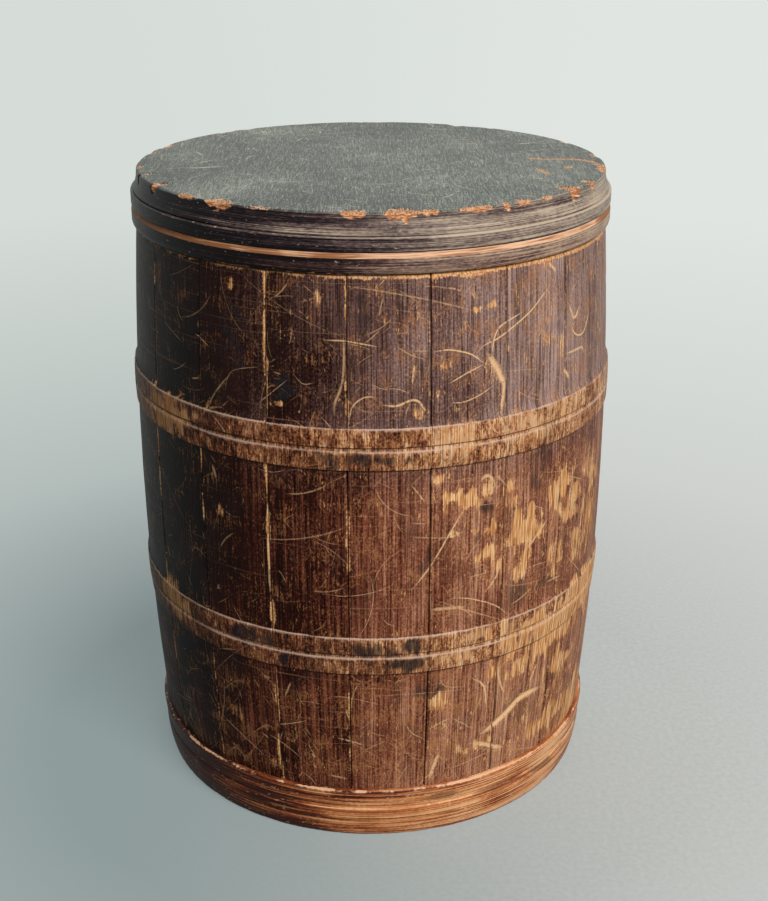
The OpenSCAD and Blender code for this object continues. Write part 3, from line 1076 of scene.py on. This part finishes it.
def wear_base(mesh, radius, angle, height):
    """Nicks the base's edges, dips its side a little, and marks its worn edges, rubs, stains and how light or
    dark it is, with painted shade on its dark side.
    """
    across = np.radians(angle) * base_r
    space = in_space(radius, angle, height)
    ragged = field(space, 1.7, seed=31) + 0.5 * field(space, 0.8, seed=32)
    level = 0.6 * field(space * (0.08, 0.08, 1), 0.8, seed=35)
    outside = radius > MOUTH_R - 3.5
    upper = 1 - smoothstep(0.15, 0.9, np.hypot(radius - base_r, height - foot_z))
    foot = 1 - smoothstep(0.2, 1.3, height)
    line = 1 - smoothstep(0.1, 0.5, np.abs(height - BASE_LINE_Z - 0.5))
    worn = 0.8 + 0.6 * field(space, 8, seed=33)
    edge = outside * (1.1 * upper * (worn + 0.6 * ragged) + 0.4 * line * worn + 0.35 * foot * worn)
    cut = outside * (0.05 * (1 + field(space, 9, seed=34)) + 0.3 * upper * np.clip(ragged + 0.2, 0, 1)
                     + 0.25 * foot * np.clip(ragged, 0, 1))
    marks = []
    for group in (BASE_RUBS, BASE_STAINS):
        patches = pixel_patches(group, base_side_radius, base_r)
        for number in range(BASE_SEEDED):
            half_width = rng.uniform(3, 14)
            strength = rng.uniform(0.3, 0.8)
            turn = rng.uniform(60, 300) - 360 * (rng.random() < 0.5)
            patches.append((strength, turn, rng.uniform(1, 14), half_width, rng.uniform(1.5, 4)))
        placed = [(strength, math.radians(turn) * base_r, *rest) for strength, turn, *rest in patches]
        marks.append(patch_marks(np.stack([across, height], 1), placed, level))
    # The stain is darkened on the dark side with painted shade
    write_marks(mesh, grain=space, edge=np.clip(edge, 0, 1.5), rub=marks[0], stain=marks[1],
                tone=0.07 - DARK_SIDE_TONE * (1 - handled(angle)))
    move_mesh(mesh, radius - cut, angle, height)


# Materials. A wood's values go by name: marks kept on its mesh, noise patterns, and what is made of these.


def linear(code):
    """A colour from its sRGB hex code, as linear values."""
    parts = [int(code[k:k + 2], 16) / 255 for k in (1, 3, 5)]
    return [part / 12.92 if part <= 0.04045 else ((part + 0.055) / 1.055) ** 2.4 for part in parts] + [1]


def node(tree, kind, inputs=(), stops=(), **settings):
    """Adds a node with its settings, fills its inputs with values or links, and gives a ramp its stops."""
    made = tree.nodes.new("ShaderNode" + kind)
    for name, value in settings.items():
        setattr(made, name, value)
    for key, value in dict(inputs).items():
        if isinstance(value, bpy.types.NodeSocket):
            tree.links.new(value, made.inputs[key])
        else:
            made.inputs[key].default_value = value
    for index, (place, code) in enumerate(stops):
        ramp = made.color_ramp.elements
        stop = ramp[index] if index < len(ramp) else ramp.new(place)
        stop.position = place
        stop.color = linear(code)
    return made


def start_wood(name, marks, sizes):
    """A new material and its values by name. A noise pattern is given by its real size in millimetres along
    the grain's three axes, its detail and, where it runs aslant, the degrees it is turned in the surface."""
    material = bpy.data.materials.new(name)
    material.use_nodes = True
    tree = material.node_tree
    grain = node(tree, "Attribute", attribute_name="grain").outputs["Vector"]
    look = {mark: node(tree, "Attribute", attribute_name=mark).outputs["Fac"] for mark in marks}
    look["grain"] = grain
    for pattern, (size, detail, *turn) in sizes.items():
        placed = {"Vector": grain, "Scale": size, "Rotation": [0, math.radians(sum(turn)), 0]}
        scaled = node(tree, "Mapping", placed, vector_type="TEXTURE").outputs[0]
        noise = node(tree, "TexNoise", {"Vector": scaled, "Scale": 1, "Detail": detail})
        look[pattern] = noise.outputs["Fac"]
    return material, tree, look


def blend(tree, look, offset=0.0, **weights):
    """Sum of an offset and of named values times their weights."""
    total = offset
    for name, weight in weights.items():
        total = node(tree, "Math", {0: look[name], 1: weight, 2: total}, operation="MULTIPLY_ADD").outputs[0]
    return total


def mask(tree, look, low, high, most=1.0, **weights):
    """A soft step from 0, where the weighted sum of named values is low, to the most, where it is high."""
    step = {"Value": blend(tree, look, **weights), "From Min": low, "From Max": high, "To Max": most}
    return node(tree, "MapRange", step, interpolation_type="SMOOTHSTEP").outputs[0]


def covered(tree, look, colour, **layers):
    """A colour under layers of paint, each laid where the value of its name is high."""
    for name, paint in layers.items():
        paint = linear(paint) if isinstance(paint, str) else paint
        colour = node(tree, "Mix", {0: look[name], 6: colour, 7: paint}, data_type="RGBA").outputs[2]
    return colour


def scratch_mask(tree, broken):
    """Where the scratches run, from the distance, half-width and strength kept on the mesh, and where a
    broken pattern lets them show."""
    total = 0.0
    for index in range(SCRATCH_LAYERS):
        kept = node(tree, "Attribute", attribute_name=f"scratch_{index}")
        gap, half, strength = node(tree, "SeparateXYZ", {0: kept.outputs["Vector"]}).outputs
        off = node(tree, "Math", {0: gap}, operation="ABSOLUTE").outputs[0]
        core = node(tree, "Math", {0: half, 1: SCRATCH_CORE}, operation="MULTIPLY").outputs[0]
        drawn = node(tree, "MapRange", {"Value": off, "From Min": half, "From Max": core, "To Max": strength})
        total = node(tree, "Math", {0: drawn.outputs[0], 1: total}, operation="MAXIMUM").outputs[0]
    return node(tree, "Math", {0: total, 1: broken}, operation="MULTIPLY").outputs[0]


def hairlines(tree, winding, thin, where):
    """Fine wandering lines along the middle level of a winding pattern, where a mask lets them show."""
    line = node(tree, "Math", {0: winding, 1: 0.5, 2: thin}, operation="COMPARE").outputs[0]
    return node(tree, "Math", {0: line, 1: where}, operation="MULTIPLY").outputs[0]


def finish_surface(material, colour, roughness, relief, depth, gloss):
    """Links a wood's colour and roughness, its relief as a bump so many millimetres deep, sets its gloss."""
    tree = material.node_tree
    shader = tree.nodes["Principled BSDF"]
    bump = node(tree, "Bump", {"Height": relief, "Strength": 1, "Distance": depth * MM})
    tree.links.new(colour, shader.inputs["Base Color"])
    tree.links.new(roughness, shader.inputs["Roughness"])
    tree.links.new(bump.outputs[0], shader.inputs["Normal"])
    shader.inputs["Specular IOR Level"].default_value = gloss
    return material


# Heights between which the staves' stain changes from one register to the next below
BELOW_UPPER_HOOPS = (118, 94)
BELOW_LOWER_HOOPS = (56, 40)
# How strongly the fibres show in the staves' stain
FIBRE_SHARE = 0.9


def stained_stave_wood():
    """Straight-grained softwood under an old red-brown stain and shellac: a satin, finely ribbed surface,
    rubbed and scratched through to pale wood, with mottled amber hoops, painted highlights along their lips,
    painted shade in its grooves and corners and painted shade on its dark side."""
    marks = ("hoop", "edge", "lip", "rub", "stain", "grime", "tone")
    material, tree, look = start_wood("stained_stave_wood", marks, {
        "fibre": ((0.28, 4, 14), 2),
        "band": ((0.75, 8, 60), 2),
        "cloud": ((13, 13, 20), 3),
        "comb": ((0.5, 3, 5), 3),
        "grit": ((0.45, 0.6, 0.6), 2),
        "turning": ((60, 5, 0.4), 1),
        "smear": ((9, 9, 5), 4),
        "streak": ((0.42, 3, 1.5), 5),
        "block": ((1.5, 3, 4), 4),
        "blot": ((10, 10, 13), 3),
        "fleck": ((0.55, 0.9, 2.2), 3),
        "rise": ((0.28, 4, 7), 1, 52),
        "fall": ((0.28, 4, 7), 1, -64),
        "wind": ((17, 17, 11), 0),
        "tangle": ((12, 12, 21), 0, 40),
    })

    # Stain on the staves, redder and more ribbed below the upper hoops, and on the hoops themselves
    look["height"] = node(tree, "SeparateXYZ", {0: look["grain"]}).outputs[2]
    look["low_down"] = mask(tree, look, *BELOW_UPPER_HOOPS, height=1)
    look["lowest"] = mask(tree, look, *BELOW_LOWER_HOOPS, height=1)
    look["ribs"] = node(tree, "Math", {0: look["band"], 1: look["low_down"]}, operation="MULTIPLY").outputs[0]
    # Both the stain and the hoops are darkened on the dark side with painted shade, from the mark kept on the
    # mesh
    shade = blend(tree, look, 0.15, band=0.2, ribs=0.36, low_down=-0.2, cloud=0.38, grit=0.38, tone=1,
                  lowest=0.06)
    mottle = blend(tree, look, -0.79, streak=0.7, block=0.9, cloud=0.6, grit=0.6, rub=0.44, tone=0.36)
    upper = node(tree, "ValToRGB", {0: shade}, stops=[
        (0.04, "#0c0606"), (0.26, "#2b120e"), (0.46, "#6f524b"), (0.6, "#9c8077"), (0.8, "#c4a9a0")])
    lower = node(tree, "ValToRGB", {0: shade}, stops=[
        (0.04, "#0e0503"), (0.26, "#300f08"), (0.46, "#854d38"), (0.6, "#b68164"), (0.8, "#d9af90")])
    amber = node(tree, "ValToRGB", {0: mottle}, stops=[
        (0.3, "#2e160e"), (0.46, "#71422c"), (0.56, "#945f41"), (0.67, "#c88d5e"), (0.82, "#ecc398")])
    fibre = node(tree, "ValToRGB", {0: look["fibre"]}, stops=[
        (0.3, "#45352f"), (0.46, "#c8bbb4"), (0.58, "#ffffff")])
    stain = covered(tree, look, upper.outputs[0], low_down=lower.outputs[0], hoop=amber.outputs[0])
    ribbed = node(tree, "Mix", {0: FIBRE_SHARE, 6: stain, 7: fibre.outputs[0]}, data_type="RGBA",
                  blend_type="MULTIPLY")

    # Wear, painted shade and painted highlights, from broad haze to single marks
    look["ragged"] = blend(tree, look, -0.95, comb=1.2, grit=0.7)
    look["patchy"] = mask(tree, look, 0.4, 0.62, smear=1, rub=0.5, lowest=0.08)
    look["haze"] = mask(tree, look, 0.56, 0.86, 0.45, smear=1, ragged=1, rub=0.5, lowest=0.06, tone=0.12)
    look["blots"] = mask(tree, look, 0.54, 0.74, 0.38, blot=1, ragged=0.2)
    look["lathe"] = mask(tree, look, 0.68, 0.76, 0.22, turning=1)
    look["flecks"] = mask(tree, look, 0.62, 0.7, look["patchy"], fleck=1, tone=0.16)
    look["rising"] = mask(tree, look, 0.71, 0.78, 0.5, rise=1, tone=0.1)
    look["falling"] = mask(tree, look, 0.71, 0.78, 0.5, fall=1, tone=0.1)
    strands_show = mask(tree, look, 0.6, 0.9, 0.4, patchy=0.3, comb=1)
    look["strands"] = hairlines(tree, look["wind"], 0.003, strands_show)
    threads_show = mask(tree, look, 0.6, 0.9, 0.4, patchy=0.3, grit=1)
    look["threads"] = hairlines(tree, look["tangle"], 0.003, threads_show)
    look["specks"] = mask(tree, look, 0.66, 0.76, 0.35, grit=1, tone=0.3)
    look["worn"] = mask(tree, look, 0.6, 1.02, rub=0.75, ragged=0.95, fleck=0.6)
    look["bared"] = mask(tree, look, 0.4, 0.95, 0.9, edge=1, ragged=1)
    look["dark"] = mask(tree, look, 0.6, 1.45, 0.85, stain=0.9, smear=1, ragged=0.9)
    # Pale lines on the hoops' lips, partly wear and partly a painted highlight
    look["worn_lip"] = mask(tree, look, 0.7, 1.5, 0.75, lip=1, grit=0.6, streak=0.6)
    look["scratch"] = scratch_mask(tree, mask(tree, look, 0.38, 0.68, grit=0.7, comb=0.6))
    # Painted shade in the grooves and corners, broken by noise
    look["dirt"] = mask(tree, look, 0.8, 1.6, 0.85, grime=1, grit=0.4, smear=0.8)
    combed = blend(tree, look, -0.15, comb=0.6, fibre=0.7)
    pale = node(tree, "ValToRGB", {0: combed}, stops=[(0.34, "#834826"), (0.5, "#cf945c"), (0.66, "#eec696")])
    peach = node(tree, "ValToRGB", {0: look["grit"]}, stops=[
        (0.3, "#935a34"), (0.5, "#d0965f"), (0.7, "#eabf94")])
    colour = covered(
        tree, look, ribbed.outputs[2], haze="#b4774a", blots="#2b1b1b", lathe="#b98c6c", specks="#b3917a",
        flecks="#cf9a66", rising="#c69060", falling="#c69060", strands="#cc9866", threads="#cc9866",
        dark="#1a1c20", worn=pale.outputs[0], bared=peach.outputs[0], worn_lip="#d3b098", scratch="#e0b485",
        dirt="#160d0b")
    shine = blend(tree, look, 0.4, grit=0.16, worn=0.15, scratch=0.1)
    relief = blend(tree, look, fibre=1, turning=0.2, grit=0.5, scratch=-0.7, worn=-0.3)
    return finish_surface(material, colour, shine, relief, depth=0.09, gloss=0.07)


def turned_dark_wood(name, stops):
    """Stained hardwood turned on a lathe: fine level tool lines in a dark satin stain, bare on its edges, with
    painted shade in its corners and on its dark side, and on the lid a painted sheen, painted light and
    painted glints, all from the marks kept on its mesh.
    """
    material, tree, look = start_wood(name, ("edge", "grime", "tone"), {
        "line": ((30, 30, 0.19), 2),
        "broad": ((50, 50, 0.9), 2),
        "cloud": ((15, 15, 5), 3),
        "grit": ((1.3, 1.3, 0.35), 3),
        "fleck": ((1.2, 1.2, 0.5), 3),
    })
    shade = blend(tree, look, -0.73, line=1, broad=0.5, cloud=0.5, grit=0.5, tone=1)
    stain = node(tree, "ValToRGB", {0: shade}, stops=stops)
    look["ragged"] = blend(tree, look, -1, grit=1.4, line=0.6)
    look["bared"] = mask(tree, look, 0.35, 0.75, edge=1, ragged=1)
    look["flecks"] = mask(tree, look, 0.66, 0.74, 0.7, fleck=1)
    # Painted shade in the corners and joints, from its mark
    look["dirt"] = mask(tree, look, 0.4, 1, grime=1, grit=0.4)
    pale = node(tree, "ValToRGB", {0: look["grit"]}, stops=[
        (0.35, "#8a4f2a"), (0.52, "#c8875a"), (0.68, "#e6b98d")])
    colour = covered(tree, look, stain.outputs[0], flecks="#bda68c", bared=pale.outputs[0], dirt="#0e0a0a")
    shine = blend(tree, look, 0.3, grit=0.2, bared=0.25)
    relief = blend(tree, look, line=1, broad=0.5, grit=0.3, bared=-0.4)
    return finish_surface(material, colour, shine, relief, depth=0.14, gloss=0.09)


def lid_top_wood():
    """Planed board under a near-black stain, with the grey-green sheen of the pale room painted into its
    colour:
    straight streaks along the board, small pale flecks, fine curls and scratches, and orange wood where the
    edge is chipped."""
    material, tree, look = start_wood("stained_lid_board", ["edge"], {
        "streak": ((0.26, 5, 5), 2),
        "cloud": ((22, 30, 10), 3),
        "grit": ((0.35, 0.8, 0.8), 2),
        "pit": ((0.6, 2, 2), 2),
        "fleck": ((0.5, 1.3, 2), 3),
        "curl": ((5, 9, 4), 1),
    })
    shade = blend(tree, look, -0.38, streak=0.7, cloud=0.3, grit=0.7)
    # The near-black stain, with the pale room's grey-green sheen painted into its colours
    stain = node(tree, "ValToRGB", {0: shade}, stops=[(0.3, "#252b28"), (0.47, "#5a6059"), (0.66, "#a3a598")])
    look["ragged"] = blend(tree, look, -0.85, grit=1.3, streak=0.4)
    look["bared"] = mask(tree, look, 0.3, 0.65, edge=1, ragged=1.2)
    look["pits"] = mask(tree, look, 0.37, 0.27, 0.7, pit=1)
    look["flecks"] = mask(tree, look, 0.62, 0.7, 0.6, fleck=1)
    look["curls"] = hairlines(tree, look["curl"], 0.006, mask(tree, look, 0.8, 0.98, 0.7, cloud=1, grit=0.6))
    look["scratch"] = scratch_mask(tree, mask(tree, look, 0.3, 0.5, grit=1))
    pale = node(tree, "ValToRGB", {0: look["grit"]}, stops=[
        (0.34, "#87502b"), (0.5, "#c98f62"), (0.66, "#e8c8a6")])
    colour = covered(tree, look, stain.outputs[0], pits="#1d211d", flecks="#b3ae9c", curls="#c2bda9",
                     scratch="#d8cbb4", bared=pale.outputs[0])
    shine = blend(tree, look, 0.1, grit=0.5, streak=0.4, bared=0.2)
    relief = blend(tree, look, streak=1, grit=0.6, scratch=-0.8, bared=-0.3)
    return finish_surface(material, colour, shine, relief, depth=0.06, gloss=0.1)


def turned_base_wood():
    """Turned softwood board under a thin red-brown stain: level amber and brown growth lines, worn edges."""
    material, tree, look = start_wood("stained_base_wood", ("edge", "rub", "stain", "tone"), {
        "line": ((40, 40, 0.5), 3),
        "fine": ((30, 30, 0.27), 2),
        "broad": ((50, 50, 2.2), 2),
        "cloud": ((14, 14, 5), 3),
        "grit": ((0.9, 0.9, 0.5), 2),
        "dash": ((18, 18, 0.4), 3),
        "wind": ((9, 9, 3), 2),
    })
    shade = blend(tree, look, -0.97, line=1.1, fine=0.8, broad=0.4, cloud=0.5, grit=0.25, rub=0.17, tone=0.92)
    stain = node(tree, "ValToRGB", {0: shade}, stops=[
        (0.28, "#35140d"), (0.46, "#8a4527"), (0.6, "#c27848"), (0.78, "#ebb887")])
    look["ragged"] = blend(tree, look, -0.95, grit=1, dash=0.9)
    look["worn"] = mask(tree, look, 0.98, 1.5, 0.6, rub=0.35, dash=1, fine=0.6, grit=0.2)
    look["bared"] = mask(tree, look, 0.45, 0.95, edge=1, ragged=1.2)
    look["dark"] = mask(tree, look, 0.75, 1.2, 0.75, stain=1, dash=0.9)
    look["strands"] = hairlines(tree, look["wind"], 0.007, mask(tree, look, 0.45, 0.62, 0.6, grit=1))
    colour = covered(tree, look, stain.outputs[0], dark="#452a25", worn="#dc9c62", strands="#dfb58c",
                     bared="#dfb089")
    shine = blend(tree, look, 0.38, grit=0.16, worn=0.12)
    relief = blend(tree, look, line=1, dash=0.4, grit=0.3)
    return finish_surface(material, colour, shine, relief, depth=0.12, gloss=0.12)


def bare_wood(name, codes, size, toned=0.0):
    """Unstained wood, dry and matt, with a fine grain and soft changes of colour. Toned is how much two marks
    kept on its mesh change its shade: how light it is, with painted shade on the dark side, and painted shade
    in corners with a bare band made darker toward the right."""
    sizes = {"fibre": (size, 3), "cloud": ((11, 9, 15), 3)}
    material, tree, look = start_wood(name, ("tone", "grime"), sizes)
    shade = blend(tree, look, -0.2, fibre=0.9, cloud=0.5, tone=toned, grime=-toned)
    wood = node(tree, "ValToRGB", {0: shade}, stops=list(zip((0.34, 0.52, 0.7), codes)))
    shine = blend(tree, look, 0.52, fibre=0.2)
    return finish_surface(material, wood.outputs[0], shine, look["fibre"], depth=0.06, gloss=0.25)


LID_SIDE_STAIN = [(0.0, "#050508"), (0.26, "#1b1317"), (0.44, "#4d3c3d"), (0.6, "#877668"), (0.84, "#bba993")]
COLLAR_STAIN = [(0.0, "#060405"), (0.26, "#1e1213"), (0.44, "#503835"), (0.6, "#8d7263"), (0.84, "#c2a688")]
stave_wood = stained_stave_wood()
inner_wood = bare_wood("raw_inner_wood", ("#6b4428", "#8f6340", "#a97c54"), (0.8, 4, 30))
band_wood = bare_wood("bare_band_wood", ("#945f3b", "#dba984", "#e6be9c"), (9, 9, 0.3), 0.33)
lid_side_wood = turned_dark_wood("turned_lid_wood", LID_SIDE_STAIN)
collar_wood = turned_dark_wood("turned_collar_wood", COLLAR_STAIN)
base_wood = turned_base_wood()
lid_wood = lid_top_wood()

for stave_number, stave_name in enumerate(staves):
    make_stave(stave_number, stave_name, [stave_wood, inner_wood])


def base_face(radius, height, upward):
    """Stained outside, bare where the staves stand, inside and underneath."""
    return np.where((radius > MOUTH_R - 3) & (height > 0.05), 0, 1)


def collar_face(radius, height, upward):
    """Stained outside, a bare band under the lid, and raw wood where the lid rests and inside."""
    hidden = (radius < bore_r + WALL / 2) | (height > lid_z - 0.02)
    bare = (height > lid_z - BARE_BAND + 0.1) & (height < lid_z - 0.2)
    return np.where(hidden, 2, np.where(bare, 1, 0))


def lid_face(radius, height, upward):
    """The board's top, the turned side, and raw wood below."""
    on_top = (upward > 0.75) & (height > top_z - 1.6) & (radius < top_r)
    return np.where(height < lid_z + 0.02, 2, np.where(on_top, 1, 0))


make_turned("base", base_outline(), False, "keg", [base_wood, inner_wood], base_face, wear_base)
make_turned("collar", collar_outline(), True, "keg", [collar_wood, band_wood, inner_wood],
            collar_face, wear_collar)
make_turned("lid", lid_outline(), False, "lid", [lid_side_wood, lid_wood, inner_wood],
            lid_face, wear_lid)

# Stage: a pale paper floor that runs out of sight. Its half-width is in metres, the rest in millimetres.
FLOOR_HALF = 12
FLOOR_DROP = 0.05
PAPER_MOTTLE = 1.5
stage_shape = bmesh.new()
bmesh.ops.create_grid(stage_shape, x_segments=1, y_segments=1, size=FLOOR_HALF)
bmesh.ops.translate(stage_shape, verts=stage_shape.verts, vec=(0, 0, -FLOOR_DROP * MM))
stage_mesh = bpy.data.meshes.new("stage")
stage_shape.to_mesh(stage_mesh)
stage_shape.free()
stage = bpy.data.objects.new("stage", stage_mesh)
bpy.context.scene.collection.objects.link(stage)


def seen_rays(tree):
    """1 for the rays that show the background to the eye, directly or in a reflection."""
    rays = node(tree, "LightPath").outputs
    seen = rays["Is Camera Ray"]
    for other in ("Is Glossy Ray", "Is Transmission Ray"):
        seen = node(tree, "Math", {0: seen, 1: rays[other]}, operation="MAXIMUM").outputs[0]
    return seen


def pale_paper():
    """Pale grey-green paper with a faint mottle, lit near the keg and fading to a pale field far off, with a
    painted shadow left of the keg and a little painted shade far off to the left. It throws little light back
    on the keg's shaded side."""
    material = bpy.data.materials.new("pale_paper")
    material.use_nodes = True
    tree = material.node_tree
    shader = tree.nodes["Principled BSDF"]
    place = node(tree, "TexCoord").outputs["Object"]
    mottle_size = [PAPER_MOTTLE * MM, PAPER_MOTTLE * MM, 1]
    scaled = node(tree, "Mapping", {"Vector": place, "Scale": mottle_size}, vector_type="TEXTURE").outputs[0]
    mottle = node(tree, "TexNoise", {"Vector": scaled, "Scale": 1, "Detail": 3}).outputs["Fac"]

    # Where the paper lies: left of the keg or not, near or far off, which is measured in metres
    across = node(tree, "SeparateXYZ", {0: place}).outputs[0]
    away = node(tree, "VectorMath", {0: place}, operation="LENGTH").outputs["Value"]
    bearing = node(tree, "Math", {0: across, 1: away}, operation="DIVIDE").outputs[0]
    far = node(tree, "Math", {0: away, 1: 10}, operation="LOGARITHM").outputs[0]
    distant = node(tree, "MapRange", {"Value": far, "From Min": -1.02, "From Max": -0.15}).outputs[0]
    look = {"across": across, "away": away, "bearing": bearing, "distant": distant, "seen": seen_rays(tree)}
    # Left of the keg, where a painted shadow is laid, and far off to the left, where painted shade is laid
    look["left"] = mask(tree, look, 0.1, -0.08, across=1)
    look["far_left"] = mask(tree, look, 6, 2.6, mask(tree, look, 0.24, -0.24, bearing=1), away=1)

    # Lit paper near the keg, with a painted shadow on its left, which looks darker to the light that it throws
    # back
    front = node(tree, "ValToRGB", {0: mottle}, stops=[(0.3, "#b7bab7"), (0.7, "#d2d5d3")])
    near = covered(tree, look, front.outputs[0], left="#96a3a3")
    tree.links.new(covered(tree, look, linear("#4e504e"), seen=near), shader.inputs["Base Color"])
    shader.inputs["Roughness"].default_value = 0.9
    shader.inputs["Specular IOR Level"].default_value = 0.1

    # A glow, to the eye alone, that takes over with distance, with a painted shadow left of the keg and a
    # little painted shade far off to the left
    backdrop = covered(tree, look, linear("#e0e5e1"), far_left="#d6dcd7")
    pale = covered(tree, look, linear("#c1c3bf"), left="#94a2a2", distant=backdrop)
    glow = node(tree, "Emission", {"Color": pale, "Strength": 1})
    even = node(tree, "MapRange", {"Value": distant, "From Max": 0.4, "To Min": 0.6, "To Max": 1}).outputs[0]
    glowing = node(tree, "Math", {0: look["seen"], 1: even}, operation="MULTIPLY").outputs[0]
    mixed = node(tree, "MixShader", {0: glowing, 1: shader.outputs[0], 2: glow.outputs[0]})
    tree.links.new(mixed.outputs[0], tree.nodes["Material Output"].inputs["Surface"])
    return material


stage_mesh.materials.append(pale_paper())

# Light: a large soft window at the front right, a softer one over the back, and a pale room that adds little
ROOM_LIGHT = 0.03
world = bpy.data.worlds.new("room")
world.use_nodes = True
bpy.context.scene.world = world
background = world.node_tree.nodes["Background"]
background.inputs["Color"].default_value = linear("#e0e5e1")
room_range = {"Value": seen_rays(world.node_tree), "To Min": ROOM_LIGHT, "To Max": 1}
room_level = node(world.node_tree, "MapRange", room_range)
world.node_tree.links.new(room_level.outputs[0], background.inputs["Strength"])


KEG_MIDDLE = Vector((0, 0, 0.09))


def soft_light(name, place, width, height, watts):
    """A soft light that faces the middle of the keg. Its place and size are in metres."""
    lamp = bpy.data.lights.new(name, "AREA")
    lamp.shape = "RECTANGLE"
    lamp.size = width
    lamp.size_y = height
    lamp.energy = watts
    holder = bpy.data.objects.new(name, lamp)
    holder.location = place
    holder.rotation_euler = (KEG_MIDDLE - holder.location).to_track_quat("-Z", "Y").to_euler()
    bpy.context.scene.collection.objects.link(holder)


soft_light("window", place=(0.66, -1.2, 0.95), width=0.9, height=0.9, watts=31)
soft_light("sky", place=(-0.3, 1.5, 1.3), width=2.4, height=1.2, watts=16)

camera_data = bpy.data.cameras.new("camera")
camera_data.sensor_width = SENSOR_MM
camera_data.lens = FOCAL_PX / PHOTO_H * SENSOR_MM
camera = bpy.data.objects.new("camera", camera_data)
camera.location = CAMERA_PLACE * MM
camera.rotation_euler = camera_turn
bpy.context.scene.collection.objects.link(camera)
bpy.context.scene.camera = camera
bpy.context.scene.view_settings.view_transform = "Standard"
